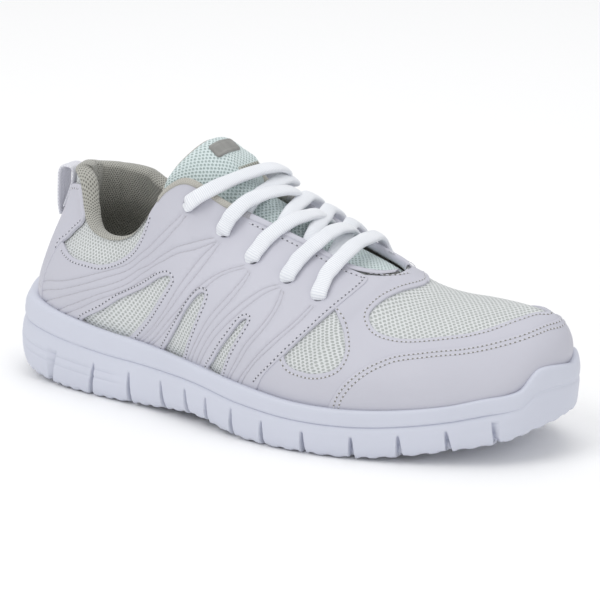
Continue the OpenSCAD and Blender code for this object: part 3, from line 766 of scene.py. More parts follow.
def tube(points, ups, across, thick, sides=10):
    """Flat oval strap through points; ups gives its face direction."""
    p, d = np.asarray(points, float), unit(np.gradient(np.asarray(points, float), axis=0))
    w = unit(np.cross(d, ups))
    h = unit(np.cross(w, d))
    a = np.linspace(0, 2 * math.pi, sides, endpoint=False)
    c, s = np.cos(a), np.sin(a)
    c, s = np.sign(c) * np.abs(c) ** .8, np.sign(s) * np.abs(s) ** .8
    across, thick = np.broadcast_to(across, len(p)), np.broadcast_to(thick, len(p))
    ring = (p[:, None] + w[:, None] * (c[None] * across[:, None] / 2)[..., None]
            + h[:, None] * (s[None] * thick[:, None] / 2)[..., None])
    return ring.reshape(-1, 3)


# painted shade: dark discs at each needle hole stand for the shade inside the hole
n = Nodes("needle_hole_shade", .9)
n.colour(n.mix(n.noise(n.coords(), 800), srgb(118, 116, 112), srgb(140, 138, 132)))
hole_shade_material = n.mat
n = Nodes("sewing_thread", .6, Sheen_Weight=.2)
n.colour(n.mix(n.noise(n.coords(), 2600), srgb(228, 228, 234), srgb(205, 205, 212)))
n.bump((n.noise(n.coords(), 5000, 1), .3, .0001))
thread = n.mat


def stitches(name, flat, rows, lift=0.0, pitch=2.1):
    """Rows of lock stitches: a thread between dark discs, painted shade standing for the needle holes."""
    pos, faces, mats = [], [], []
    for pts, gap, closed in rows:
        uv = curve(pts, flat, .7, closed)
        if closed and area(flat(uv[:, 0], uv[:, 1])) > 0:
            uv = uv[::-1]
        if gap:
            uv = beside(uv, flat, gap, closed)
        uv = curve(uv, flat, pitch, closed)
        here = skin_at(uv[:, 0], uv[:, 1], np.full(len(uv), -lift))
        up = facing(uv[:, 0], uv[:, 1])
        nxt = np.roll(here, -1, 0) if closed else np.vstack([here[1:], here[-1:] * 2 - here[-2:-1]])
        along = unit(nxt - here)
        out = unit(np.cross(along, up))
        for i in range(len(uv) if closed else len(uv) - 1):
            base = len(pos)
            # a dark disc at the needle hole: painted shade for the hole
            a = np.linspace(0, 2 * math.pi, 8, endpoint=False)
            for r, h in ((.48, .03), (.30, .05)):
                pos += list(here[i] + along[i] * (np.cos(a) * r * 1.15)[:,
                                                                        None] + out[i] * (np.sin(a) * r * .8)[:, None]
                            + up[i] * h)
            faces += [[base + j, base + (j + 1) % 8, base + 8 + (j + 1) % 8,
                       base + 8 + j][::-1] for j in range(8)]
            faces.append([base + 8 + j for j in range(8)][::-1])
            mats += [1] * 9
            base = len(pos)
            b = np.linspace(0, 2 * math.pi, 6, endpoint=False)
            length = np.linalg.norm(nxt[i] - here[i])
            for f, r, h in ((.16, .06, .0), (.28, .2, .08), (.5, .24, .12), (.72, .2, .08), (.84, .06, .0)):
                pos += list(here[i] + along[i] * length * f + up[i] * h + out[i] * (np.cos(b) * r)[:, None]
                            + up[i] * (np.sin(b) * r)[:, None])
            for q in range(4):
                faces += [[base + q * 6 + j, base + q * 6 + (j + 1) % 6, base + q * 6 + 6 + (j + 1) % 6,
                           base + q * 6 + 6 + j] for j in range(6)]
            mats += [0] * 24
    obj = add_mesh(name, np.array(pos), faces, None, thread)
    obj.data.materials.append(hole_shade_material)
    obj.data.polygons.foreach_set("material_index", mats)
    return obj


def ring_of(u, v, flat, radius, count=12):
    """Small round hole on the flat."""
    e = 1e-3
    ju = (flat(np.array([u + e]), np.array([v])) - flat(np.array([u - e]), np.array([v])))[0] / (2 * e)
    jv = (flat(np.array([u]), np.array([v + e])) - flat(np.array([u]), np.array([v - e])))[0] / (2 * e)
    inv = np.linalg.inv(np.stack([ju, jv], 1))
    a = np.linspace(0, 2 * math.pi, count, endpoint=False)
    return [list(np.array([u, v]) + inv @ np.array([math.cos(t), math.sin(t)]) * radius) for t in a]


def mirrored(points):
    """The same outline on the inner side."""
    return [[LAP - p[0]] + list(p[1:]) for p in points][::-1]


FRONT_WINDOW = [[7.66, .62], [7.60, .44], [7.55, .29], [7.68, .235], [7.92, .215], [8.20, .23], [8.38, .29],
                [8.34, .38], [8.12, .47], [7.84, .56]]
TOE_WINDOW = [[8.50, .94], [8.27, .82], [8.15, .70], [8.20, .61], [8.50, .55], [8.95, .53], [9.45, .55],
              [9.95, .58], [10.40, .63], [10.95, .73], [11.5, .80], [12, .83], [12.5, .80], [13.05, .73],
              [13.6, .63], [14.05, .58], [14.55, .55], [15.05, .53], [15.50, .55], [15.80, .61],
              [15.85, .70],
              [15.73, .82], [15.50, .94], [15.45, .999]]
vamp_outline = ([[7.0, -.02], [7.6, -.025], [8.4, -.025], [9.0, .1], [9.6, .30], [10.3, .38], [11, .46],
                 [12, .55], [13, .46],
                 [13.7, .38], [14.4, .30], [15.0, .1], [15.6, -.025], [16.4, -.025], [17.0, -.02],
                 [17.0, .45],
                 [16.75, .7], [16.5, .90], [16.2, .94], [16.02, .985], [7.98, .985], [7.8, .94], [7.5, .90],
                 [7.25, .7], [7.0, .45]])
vamp_overlay = panel("vamp_overlay", flat_vamp, vamp_outline,
                     [TOE_WINDOW, FRONT_WINDOW, mirrored(FRONT_WINDOW)],
                     material=leather)
vamp_stitching = stitches("vamp_stitching", flat_vamp, [
    (TOE_WINDOW, 1.9, True), (FRONT_WINDOW[1:] + [[7.5, .66]], -1.9, False),
    ([[7.62, .955], [7.86, .93], [8.12, .985]], 0, False)])
for piece in (vamp_overlay, vamp_stitching):
    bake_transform(piece)
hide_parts("overlay_vamp")

# ---------------------------------------------------------------------------
# Toe guard. A broad strip of the same leather that wraps the toe and the sides
# of the forefoot, sewn over the vamp with a double row.
# ---------------------------------------------------------------------------
GUARD_TOP = [[8.50, -.02], [8.55, .11], [8.62, .21], [8.75, .31], [8.90, .37], [9.10, .42], [9.55, .455],
             [10.05, .475], [10.50, .51], [11.05, .56], [11.5, .61], [12, .65], [12.5, .61], [12.95, .56],
             [13.5, .51], [13.95, .475], [14.45, .455], [14.90, .42], [15.10, .37], [15.25, .31],
             [15.38, .21],
             [15.45, .11], [15.50, -.02]]
guard_outline = GUARD_TOP + [[14.6, -.03], [13.6, -.03], [12.8, -.03], [12, -.03], [11.2, -.03],
                             [10.4, -.03], [9.4, -.03]]
toe_guard = panel("toe_guard", flat_vamp, guard_outline, lift=.55, skirt=.6, material=leather)
guard_stitching = stitches("guard_stitching", flat_vamp,
                           [(GUARD_TOP, -1.5, False), (GUARD_TOP, -3.7, False)], lift=.55)
for piece in (toe_guard, guard_stitching):
    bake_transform(piece)
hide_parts("toe_guard")

# ---------------------------------------------------------------------------
# Quarters. One cut piece of leather each side: eyestay, fingers that run down
# between the mesh windows to the sole, and a band under the ankle. Pairs of
# lines are pressed in from the heel and the sole up to each eyelet.
# ---------------------------------------------------------------------------
EYELETS = [[5.65, .825], [6.08, .792], [6.53, .71], [7.02, .685], [7.43, .67]]
TOP_HOLE = [5.36, .83]
QUARTER = [[1.9, -.02], [3.0, -.03], [4.2, -.03], [5.4, -.03], [6.5, -.03], [7.22, -.02], [7.40, .13],
           [7.55, .28], [7.63, .44], [7.68, .61], [7.70, .78], [7.68, .88], [7.60, .925], [7.45, .955],
           [7.2, .975], [6.8, .985], [6.3, .99], [5.8, .99], [5.4, .99], [5.15, .985], [4.97, .975],
           [4.90, .92], [4.82, .865],
           [4.66, .81], [4.4, .775], [4.0, .715], [3.65, .668], [3.30, .65], [2.92, .61], [2.54, .58],
           [2.2, .56], [1.9, .52], [1.75, .4], [1.75, .2]]
W1 = [[5.50, .43], [5.42, .445], [5.0, .425], [4.40, .355], [3.98, .20], [3.56, .02], [3.62, -.005],
      [4.0, -.01],
      [4.5, -.005], [4.60, .03], [4.86, .15], [5.2, .29], [5.46, .40]]
W2 = [[6.06, .43], [5.98, .42], [5.82, .32], [5.64, .20], [5.42, .08], [5.28, .0], [5.36, -.01],
      [5.62, -.01],
      [5.72, .02], [5.84, .12], [5.97, .25], [6.06, .38]]
W3 = [[6.83, .39], [6.76, .375], [6.66, .28], [6.52, .17], [6.38, .07], [6.27, .01], [6.34, -.01],
      [6.50, -.01],
      [6.58, .03], [6.67, .12], [6.76, .23], [6.83, .34]]
LINES = [[[2.02, .10], [2.5, .23], [2.94, .334], [3.82, .60], [4.66, .685], [5.22, .675], [5.48, .715],
          [5.59, .76]],
         [[2.05, .02], [2.55, .14], [3.02, .256], [3.92, .54], [4.74, .625], [5.28, .62], [5.55, .69],
          [5.64, .755]],
         [[2.5, .005], [3.06, .172], [3.78, .41], [4.66, .56], [5.22, .55], [5.64, .60], [5.98, .73]],
         [[2.95, .0], [3.3, .13], [3.95, .375], [4.82, .515], [5.38, .525], [5.74, .59], [6.02, .715]],
         [[3.15, .0], [3.45, .11], [4.0, .33], [4.82, .465], [5.2, .478]],
         [[4.76, .01], [5.18, .18], [5.5, .315], [5.76, .47], [5.93, .62], [6.04, .72]],
         [[4.84, .01], [5.26, .18], [5.6, .315], [5.86, .475], [6.0, .61], [6.08, .72]],
         [[4.96, .01], [5.34, .165], [5.7, .30], [5.96, .45], [6.16, .55], [6.32, .61], [6.46, .655]],
         [[5.04, .01], [5.45, .17], [5.8, .315], [6.02, .435], [6.18, .53], [6.34, .595], [6.48, .64]],
         [[5.84, .02], [6.06, .18], [6.2, .30], [6.34, .40], [6.44, .48], [6.52, .57], [6.55, .635]],
         [[5.92, .02], [6.12, .17], [6.28, .29], [6.42, .39], [6.50, .46], [6.57, .56], [6.58, .63]],
         [[6.02, .02], [6.28, .21], [6.54, .38], [6.72, .50], [6.85, .585], [6.96, .63]],
         [[6.1, .02], [6.4, .225], [6.62, .36], [6.80, .49], [6.90, .565], [6.99, .615]],
         [[6.7, .005], [6.86, .13], [6.95, .244], [7.05, .36], [7.09, .454], [7.08, .53], [7.04, .61]],
         [[6.76, .005], [6.94, .136], [7.03, .25], [7.12, .37], [7.14, .47], [7.12, .55], [7.07, .61]],
         [[6.92, .005], [7.12, .148], [7.26, .286], [7.38, .43], [7.42, .52], [7.43, .60]],
         [[7.0, .005], [7.18, .15], [7.34, .298], [7.44, .44], [7.47, .52], [7.47, .60]]]
# painted shade: dark discs laid under the eyelet holes stand for the shade inside the holes
n = Nodes("eyelet_hole_shade", .8)
n.colour(n.mix(n.noise(n.coords(), 900, 2), srgb(84, 84, 92), srgb(112, 112, 120)))
n.bump((n.noise(n.coords(), 1500, 2), .3, .0002))
hole_shade_material = n.mat
for tag, turn in (("lateral", lambda p: p), ("medial", mirrored)):
    holes = [turn(ring_of(u, v, flat_side, 2.3)) for u,
             v in EYELETS + ([] if tag == "lateral" else [TOP_HOLE])]
    quarter = panel("quarter_" + tag, flat_side, turn(QUARTER), [turn(W1), turn(W2), turn(W3)] + holes,
                    [(turn(l), .42) for l in LINES], lift=.5, skirt=1.0, step=1.6, material=leather)
    sign = 1 if tag == "lateral" else -1
    rows = [(turn(W), 1.8, True) for W in (W1, W2, W3)]
    rows.append((turn([[7.30, .03], [7.48, .16], [7.60, .30], [7.68, .44], [7.72, .61], [7.74, .80],
                       [7.70, .90],
                       [7.60, .94], [7.45, .965], [7.2, .98], [6.9, .985], [6.6, .987], [6.3, .987]]),
                       3.0 * sign, False))
    rows.append((turn([[4.93, .96], [4.90, .92], [4.82, .865], [4.66, .81], [4.4, .775], [4.0, .715],
                       [3.65, .668],
                       [3.30, .65], [2.92, .61], [2.54, .58], [2.25, .56]]), 2.0 * sign, False))
    seams = stitches("quarter_stitching_" + tag, flat_side, rows, lift=.5)
    for piece in (quarter, seams):
        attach(piece, "rear")
    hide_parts("overlay_" + tag)
    # dark discs under each eyelet hole: painted shade for the inside of the hole
    discs, fans = [], []
    for u, v in EYELETS + ([] if tag == "lateral" else [TOP_HOLE]):
        ring = turn(ring_of(u, v, flat_side, 2.75))
        middle = turn([[u, v]])
        base = len(discs)
        discs += [list(m) for m in middle] + [list(r) for r in ring]
        fans += [(base, base + 1 + i, base + 1 + (i + 1) % len(ring)) for i in range(len(ring))]
    discs = np.array(discs)
    shade = add_mesh("eyelet_hole_shade_" + tag, skin_at(discs[:, 0], discs[:, 1], np.full(len(discs), -.12)),
                     fans,
                     discs * MM * 28, hole_shade_material)
    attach(shade, "rear")

# ---------------------------------------------------------------------------
# Backstay. Leather heel panel over the counter, its edges lapped over both
# quarters.
# ---------------------------------------------------------------------------
BACK = [[-2.3, -.02], [-1.5, -.03], [-.7, -.03], [0, -.03], [.7, -.03], [1.5, -.03], [2.3, -.02],
        [2.36, .1], [2.28, .23],
        [2.12, .39], [2.05, .52], [2.16, .62], [2.26, .75], [2.45, .90], [2.5, .985], [2.2, .99],
        [1.75, .985], [1.5, .93],
        [1.0, .86], [.5, .84], [0, .835], [-.5, .84], [-1.0, .86], [-1.5, .93], [-1.75, .985], [-2.2, .99],
        [-2.5, .985],
        [-2.45, .90], [-2.26, .75], [-2.16, .62], [-2.05, .52], [-2.12, .39], [-2.28, .23], [-2.36, .1]]
backstay = panel("backstay", flat_side, BACK, lift=.95, skirt=.6, material=leather,
                 lines=[([[2.30, .12], [1.6, .10], [.8, .08], [0, .08]], .3),
                        ([[0, .08], [-.8, .08], [-1.6, .10], [-2.3, .12]], .3)])
back_seam = [[2.10, .50], [2.03, .53], [2.16, .62], [2.26, .75], [2.45, .90], [2.48, .96]]
notch_seam = [[1.7, .97], [1.5, .92], [1.0, .85], [.5, .83], [0, .825]]
back_stitching = stitches("back_stitching", flat_side, [
    (back_seam, 1.8, False), ([[-p[0], p[1]] for p in back_seam], -1.8, False),
    (notch_seam, 1.6, False), ([[-p[0], p[1]] for p in notch_seam], -1.6, False)],
                          lift=.95)
for piece in (backstay, back_stitching):
    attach(piece, "rear")
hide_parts("backstay")

# ---------------------------------------------------------------------------
# Lining and padded collar. Warm grey knit lines the shoe; round the ankle it is
# blown out by foam and rolls over the top edge.
# ---------------------------------------------------------------------------
lining_knit = knit_material("lining_knit", (186, 185, 177), (108, 108, 102), .0016, .0003, .24, .16, .35)


def fullness(u, v):
    k = side(u)
    along = np.clip((5.2 - k) / 1.3, 0, 1)
    along = along * along * (3 - 2 * along)
    up = np.clip((v - .35) / .4, 0, 1)
    quilt = 1 - .10 * np.exp(-((k - 2.1) / .12)**2)
    return .8 + 4.7 * along * up * up * (3 - 2 * up) * quilt


def lining_depth(u):
    return 3.0 - .9 * np.clip((side(u) - 5.1) / .4, 0, 1)


collar_us = np.arange(-8, 8.001, .08)
rows = []
out_top = upper(collar_us, np.ones(len(collar_us)))
up_dir = unit(out_top - upper(collar_us, np.full(len(collar_us), .97)))
face = facing(collar_us, np.full(len(collar_us), .985))
thick = lining_depth(collar_us) + fullness(collar_us, np.ones(len(collar_us)))
start = .3 + .2 * (side(collar_us) > 5.2)
for a in np.linspace(0, math.pi, 15):
    mid = out_top - face * ((start + thick) / 2)[:, None]
    half = (thick - start) / 2
    rows.append(mid + face * (half * math.cos(a))[:, None] + up_dir * (half * .62 * math.sin(a) - .9)[:,
                                                                                                      None])
for v in np.concatenate([np.linspace(.955, .3, 34), np.linspace(.27, .0, 8)]):
    vs = np.full(len(collar_us), v)
    deep = lining_depth(collar_us) + fullness(collar_us, vs) * (1 - .04 * np.exp(-((v - .5) / .02)**2))
    rows.append(skin_at(collar_us, vs, deep))
stack = np.array(rows)
flat = np.stack([np.broadcast_to(np.interp(collar_us % LAP, U_TABLE, SPAN), stack.shape[:2]),
                 np.cumsum(np.concatenate([np.zeros((1, stack.shape[1])),
                                           np.linalg.norm(np.diff(stack, axis=0), axis=2)]), 0)], -1)
collar = add_mesh("collar_and_lining", stack.reshape(-1, 3), grid_faces(len(rows), len(collar_us))[:, ::-1],
                  flat.reshape(-1, 2) * MM, lining_knit)
toe_us = np.arange(7.9, 16.11, .1)
toe_vs = np.linspace(0, 1, 16)
uu, vv = np.meshgrid(toe_us, toe_vs, indexing="ij")
inner_toe = skin_at(uu, vv, np.full(uu.shape, 3.1)).reshape(-1, 3)
toe_lining = add_mesh("toe_lining", inner_toe, grid_faces(len(toe_us), len(toe_vs))[:, ::-1],
                      inner_toe[:, :2] * MM, lining_knit)
for piece in (collar, toe_lining):
    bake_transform(piece)
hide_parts("collar_padding", "collar_lining", "heel_counter")
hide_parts("toe_puff")

# ---------------------------------------------------------------------------
# Throat bindings. A narrow beige-grey tape folded over each eyestay's raw edge at
# the top, and below it the leather itself turned in and stitched.
# ---------------------------------------------------------------------------


def tape_material(name, shade, dark, pitch):
    n = Nodes(name, .7, Sheen_Weight=.2)
    flat = n.put("SeparateXYZ", {0: n.coords(flat=True)})
    warp = n.math("SINE", n.math("MULTIPLY", flat.outputs[0], 2 * math.pi / pitch))
    weft = n.math("SINE", n.math("MULTIPLY", flat.outputs[1], 2 * math.pi / (pitch * 1.3)))
    weave = n.between(n.math("MULTIPLY", warp, weft), -1, 1)
    tone = n.mix(n.between(n.noise(n.coords(), 60), .3, .7), srgb(*shade), srgb(*(c * .96 for c in shade)))
    # painted shade: the weave's low cells take the darker colour, standing for the shade between the yarns
    n.colour(n.mix(weave, srgb(*dark), tone))
    n.bump((weave, .5, .0003), (n.noise(n.coords(), 4000, 1), .2, .0001))
    return n.mat


beige_tape = tape_material("binding_tape", (196, 194, 186), (168, 165, 156), .0009)
for tag, lo, hi, tape in (("lateral", 5.15, 6.3, beige_tape), ("lateral_fold", 6.22, 7.9, leather),
                          ("medial", 17.7, 18.85, beige_tape), ("medial_fold", 16.1, 17.78, leather)):
    us = np.linspace(lo, hi, 120)
    rows = []
    for v, depth in ((.953, -.45), (.957, -.9), (.97, -1.0), (1.0, -.8), (1.007, -.4), (1.011, .3),
                     (1.011, 1.2),
                     (1.004, 2.2), (.985, 2.9), (.96, 3.1)):
        top = upper(us, np.full(120, min(v, 1.0)))
        over = unit(upper(us, np.ones(120)) - upper(us, np.full(120, .97))) * max(v - 1, 0) * 60
        rows.append(top + over - facing(us, np.full(120, min(v, .985))) * depth)
    stack = np.array(rows)
    flat = np.stack([np.broadcast_to(np.interp(us, U_TABLE, SPAN), stack.shape[:2]),
                     np.broadcast_to(np.arange(len(rows))[:, None] * .9, stack.shape[:2])], -1)
    order = grid_faces(len(rows), 120)
    binding = add_mesh("binding_" + tag, stack.reshape(-1, 3), order[:, ::-1], flat.reshape(-1, 2) * MM,
                       tape)
    if tape is beige_tape:
        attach(binding, "rear")
        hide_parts("binding_" + tag)
    else:
        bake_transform(binding)

# ---------------------------------------------------------------------------
# Tongue. Padded, with a minty open mesh face over foam, a grey knit underside
# and a bound edge; it arches over the instep.
# ---------------------------------------------------------------------------
TONGUE = [[101, 117], [105, 113.8], [109, 110.4], [114, 106], [119, 101], [126, 95.8], [142, 88.5],
          [155, 82.5],
          [168, 77], [181, 72.3], [190, 69], [200, 65]]
ARCH = [[101, 22, .050], [108, 22, .050], [112, 21.5, .048], [119, 20.5, .044], [135, 19, .034],
        [155, 17.5, .026],
        [170, 16, .019], [198, 12, .012]]
# the inner half lies flatter near the top
INNER_HALF = [101, 108, 113, 116, 122, 128], [.3, .2, .05, .05, .5, 1]
mint_mesh = knit_material("tongue_mesh", (222, 235, 235), (166, 183, 181), .0021, .0005, .24, .13)


def tongue_at(x, s, depth):
    arch = run(ARCH, x)
    y = s * arch[..., 0] * np.where(s > 0, 1 - .1 * np.clip((130 - x) / 14, 0, 1), 1)
    q = np.maximum(x, 102)
    lean = (run(TONGUE, q + 1)[..., 0] - run(TONGUE, q - 1)[..., 0]) / 2
    n = unit(np.stack([-lean, 0 * x, 1 + 0 * x], -1))
    bend = arch[..., 1] * np.where(s > 0, np.interp(x, *INNER_HALF), 1)
    tilt = 2 * bend * y
    out = unit(n + np.stack([0 * x, tilt, 0 * x], -1))
    mid = np.stack([x, y, run(TONGUE, x)[..., 0]], -1) - n * (bend * y * y)[..., None]
    return mid - out * np.asarray(depth, float)[..., None]


txs = np.concatenate([np.linspace(100.6, 116, 26), np.linspace(116.8, 198, 80)])
tss = np.linspace(-1, 1, 61)
xx, ss = np.meshgrid(txs, tss, indexing="ij")
# the free end is rounded: stations pull back toward the corners
xx = xx + 3 * np.clip((108 - xx) / 7, 0, 1) * np.abs(ss) ** 6
edge = np.clip(np.minimum(1 - np.abs(ss), (xx - 100.6) / 22 + .02) / .16, 0, 1)
puff = np.sqrt(1 - (1 - edge) ** 2)


def pillow_over(x, s):
    return 1.0 * np.sin(np.clip((x - 101) / 14, 0, 1) * math.pi) * (1 - s ** 2)


pillow = pillow_over(xx, ss)
face_depth = 2.9 * (1 - puff) - pillow
back_depth = 6.6 - 3.6 * (1 - puff)
tongue_face = tongue_at(xx, ss, face_depth)
tongue_back = tongue_at(xx, ss, back_depth)
arc = np.cumsum(np.concatenate([np.zeros((1, 61)), np.linalg.norm(np.diff(tongue_face, axis=0), axis=2)]), 0)
wide = np.concatenate([np.zeros((len(txs), 1)),
                       np.cumsum(np.linalg.norm(np.diff(tongue_face, axis=1), axis=2), axis=1)], 1)
wide = wide - wide[:, 30:31]
arc = np.broadcast_to(arc[:, 30:31], wide.shape)
t_flat = np.stack([arc, wide], -1) * MM


def edge_tape(name, face_line, back_line):
    middle, across = (face_line + back_line) / 2, unit(face_line - back_line)
    flat = [np.repeat(np.arange(len(middle)) * 1.2, 12), np.tile(np.arange(12) * .4, len(middle))]
    return add_mesh(name, tube(middle, across, 1.6, 1.6, 12), grid_faces(len(middle), 12, wrap=True),
                    np.column_stack(flat) * MM, beige_tape)


# the tongue is built as a top part and a front part: the two meet under the laces
meet = int(np.searchsorted(txs, 150))
around = [np.concatenate([t[meet::-1, 0], t[0, 1:-1], t[:meet + 1, -1]]) for t in (tongue_face, tongue_back)]
for part, rows in (("", slice(0, meet + 1)), ("_front", slice(meet, None))):
    shape = tongue_face[rows].shape[0]
    laid = t_flat[rows].reshape(-1, 2)
    faces = grid_faces(shape, 61)
    tongue = add_mesh("tongue_face" + part, tongue_face[rows].reshape(-1, 3), faces, laid, mint_mesh)
    under = add_mesh("tongue_lining" + part, tongue_back[rows].reshape(-1, 3), faces[:, ::-1], laid,
                     lining_knit)
    if part:
        tapes = [edge_tape("tongue_binding_front_" + tag, tongue_face[rows, k], tongue_back[rows, k])
                 for tag, k in (("lateral", 0), ("medial", -1))]
    else:
        tapes = [edge_tape("tongue_binding", *around)]
        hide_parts("tongue_face", "tongue_top_face", "tongue_padding", "tongue_top_padding")
        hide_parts("tongue_lining")
    for piece in [tongue, under] + tapes:
        if part:
            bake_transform(piece)
        else:
            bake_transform(piece)

# ---------------------------------------------------------------------------
# Tongue patch. A small plain rectangle of grey coated fabric with rounded
# corners, welded across the tongue's top, with one pressed line round its edge.
# ---------------------------------------------------------------------------
n = Nodes("grey_patch", .5, Metallic=.1)
at = n.coords()
n.colour(n.mix(n.between(n.noise(at, 240, 3), .35, .65), srgb(136, 136, 133), srgb(150, 150, 147)))
n.bump((n.noise(at, 900, 2), .3, .0002), (n.noise(at, 2600, 1), .2, .0001))
coated = n.mat
PATCH_X, PATCH_Y = 106.3, 2.6
PATCH_HALF_X, PATCH_HALF_Y, PATCH_CORNER = 2.9, 8.5, 1.2
ps, qs = np.meshgrid(np.linspace(-1, 1, 61), np.linspace(1, -1, 31), indexing="ij")
over_y = np.clip(abs(ps) * PATCH_HALF_Y - (PATCH_HALF_Y - PATCH_CORNER), 0, None)
over_x = np.clip(abs(qs) * PATCH_HALF_X - (PATCH_HALF_X - PATCH_CORNER), 0, None)
cut_y = over_y * (1 - np.sqrt(1 - (over_x / PATCH_CORNER) ** 2 / 2))
cut_x = over_x * (1 - np.sqrt(1 - (over_y / PATCH_CORNER) ** 2 / 2))
side_y = np.sign(ps) * (abs(ps) * PATCH_HALF_Y - cut_y)
side_x = np.sign(qs) * (abs(qs) * PATCH_HALF_X - cut_x)
past_y = abs(side_y) - (PATCH_HALF_Y - PATCH_CORNER)
past_x = abs(side_x) - (PATCH_HALF_X - PATCH_CORNER)
edge = (PATCH_CORNER - np.hypot(np.clip(past_y, 0, None), np.clip(past_x, 0, None))
        - np.minimum(np.maximum(past_y, past_x), 0))
px, py = PATCH_X + side_x, (PATCH_Y + side_y) / 21
rise = .95 * np.sqrt(1 - (1 - np.clip(edge / .8, 0, 1)) ** 2)
pressed = .14 * np.exp(-((edge - 1.3) / .25) ** 2)
edge_p = np.clip(((px - 100.6) / 22 + .02) / .16, 0, 1)
patch_depth = 2.9 * (1 - np.sqrt(1 - (1 - edge_p) ** 2)) - pillow_over(px, py) - rise + pressed
patch = add_mesh("tongue_patch", tongue_at(px, py, patch_depth).reshape(-1, 3), grid_faces(61, 31),
                 np.column_stack([side_y.ravel(), side_x.ravel()]) * MM, coated)
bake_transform(patch)
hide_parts("tongue_patch")

# ---------------------------------------------------------------------------
# Lace keeper. A short ribbed strip sewn across the tongue just over the top
# lace.
# ---------------------------------------------------------------------------
grey_tape = tape_material("keeper_tape", (196, 198, 190), (128, 130, 120), .0022)
ks, ls = np.meshgrid(np.linspace(0, 1, 17), np.linspace(0, 1, 81), indexing="ij")
kx, ky = 115 + 3.0 * ks, (-1 + 18 * ls) / 21
edge = np.minimum(np.minimum(ks, 1 - ks) * 3, np.minimum(ls, 1 - ls) * 19)
lifted = (.9 * np.sqrt(1 - (1 - np.clip(edge / .5, 0, 1)) ** 2)
          + .22 * np.cos(ls * 19 * 2 * math.pi / 2.2) * np.clip(edge, 0, 1))
keeper = add_mesh("lace_keeper", tongue_at(kx, ky, .05 - lifted - pillow_over(kx, ky)).reshape(-1, 3),
                  grid_faces(17, 81),
                  np.column_stack([ls.ravel() * 19, ks.ravel() * 3]) * MM, grey_tape)
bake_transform(keeper)

# ---------------------------------------------------------------------------
# Pull tab. A loop of white webbing sewn to the back of the collar.
# ---------------------------------------------------------------------------
webbing = tape_material("webbing", (232, 232, 238), (208, 209, 217), .0012)
TAB = [[0, 18.8, 71.5], [.1, 18, 77], [.3, 18.4, 88], [.42, 18.9, 92.2], [.5, 20.6, 94.4], [.6, 24, 94.8],
       [.68, 26.2, 93.8],
       [.76, 26.5, 90], [.88, 24.8, 84], [1, 21, 75.5]]
path = run(TAB, np.linspace(0, 1, 70))
ys = np.linspace(-4.6, 5.2, 25)
ups = unit(np.gradient(path, axis=0))
norm = np.stack([-ups[:, 1], ups[:, 0]], 1)
rows = []
for s, y in list(zip(np.zeros(25), ys)) + list(zip(np.ones(25), ys[::-1])):
    rib = .10 * math.cos(y * 2 * math.pi / 1.6)
    edge = min(y + 4.6, 5.2 - y)
    half = (.62 + rib) * math.sqrt(1 - (1 - min(edge / .6, 1)) ** 2) + .05
    sign = 1 if s == 0 else -1
    rows.append(np.column_stack([path[:, 0] + norm[:, 0] * half * sign, np.full(70, y),
                                 path[:, 1] + norm[:, 1] * half * sign]))
stack = np.array(rows)
along = np.cumsum(np.concatenate([[0], np.linalg.norm(np.diff(path, axis=0), axis=1)]))
flat = np.stack([np.broadcast_to(stack[:, :1, 1], stack.shape[:2]),
                 np.broadcast_to(along, stack.shape[:2])], -1)
tab = add_mesh("pull_tab", stack.transpose(1, 0, 2).reshape(-1, 3), grid_faces(70, 50, wrap=True),
               flat.transpose(1, 0, 2).reshape(-1, 2) * MM, webbing)
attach(tab, "rear")
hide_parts("pull_tab")

# ---------------------------------------------------------------------------
# Laces. Flat-oval white braid. Each run comes up out of an eyelet, crosses the
# tongue and goes down under the eyestay on the other side.
# ---------------------------------------------------------------------------


def lace_material():
    n = Nodes("lace_braid", .65, Sheen_Weight=.3)
    flat = n.put("SeparateXYZ", {0: n.coords(flat=True)})
    a = n.math("MULTIPLY", flat.outputs[0], 2 * math.pi / .0011)
    b = n.math("MULTIPLY", flat.outputs[1], 2 * math.pi / .00085)
    bow = n.math("ADD", b, n.math("MULTIPLY", n.math("SINE", a), .25))
    weave = n.between(n.math("SINE", bow), -1, 1)
    tone = n.mix(n.between(n.noise(n.coords(), 70), .3, .7), srgb(244, 246, 249), srgb(234, 237, 241))
    # painted shade: the braid's low ridges take the darker (222, 225, 232), standing for the shade between the
    # strands
    n.colour(n.mix(weave, srgb(222, 225, 232), tone))
    n.bump((weave, .45, .0002), (n.noise(n.coords(), 3600, 1), .2, .0001))
    return n.mat


braid = lace_material()
LACE_W, LACE_T = 7.2, 2.9


def eyelet_at(u, v, depth, inner=False):
    u = LAP - u if inner else u
    return skin_at(np.array([u]), np.array([v]), np.array([depth]))[0]


def lace(name, points):
    p = np.asarray(points, float)
    s = np.concatenate([[0], np.cumsum(np.linalg.norm(np.diff(p, axis=0), axis=1))])
    count = int(s[-1] / .8)
    fine = run(np.column_stack([s, p]), np.linspace(0, s[-1], count))
    # the lace lies flat on what is under it: across the shoe on the tongue, on the leather at its ends
    t = np.linspace(0, 1, count)
    side_tilt = np.clip((np.abs(fine[:, 1] - 2) - 8) / 20, 0, 1) * np.sign(fine[:, 1] - 2)
    ups = unit(np.stack([.42 + 0 * t, side_tilt * 1.5, 1 + 0 * t], 1))
    ends = np.clip(np.minimum(t, 1 - t) * s[-1] / 4, 0, 1)
    swell = 1 + .03 * np.sin(t * 37)
    ring = tube(fine, ups, LACE_W * (.72 + .28 * ends) * swell, LACE_T * (1.1 - .1 * ends), 16)
    half = np.linspace(0, LACE_W * 2, 16, endpoint=False)
    flat = np.column_stack([np.tile(half, count), np.repeat(np.linspace(0, s[-1], count), 16)]) * MM
    obj = add_mesh(name, ring, grid_faces(count, 16, wrap=True), flat, braid)
    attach(obj, "rear")
    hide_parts(name)


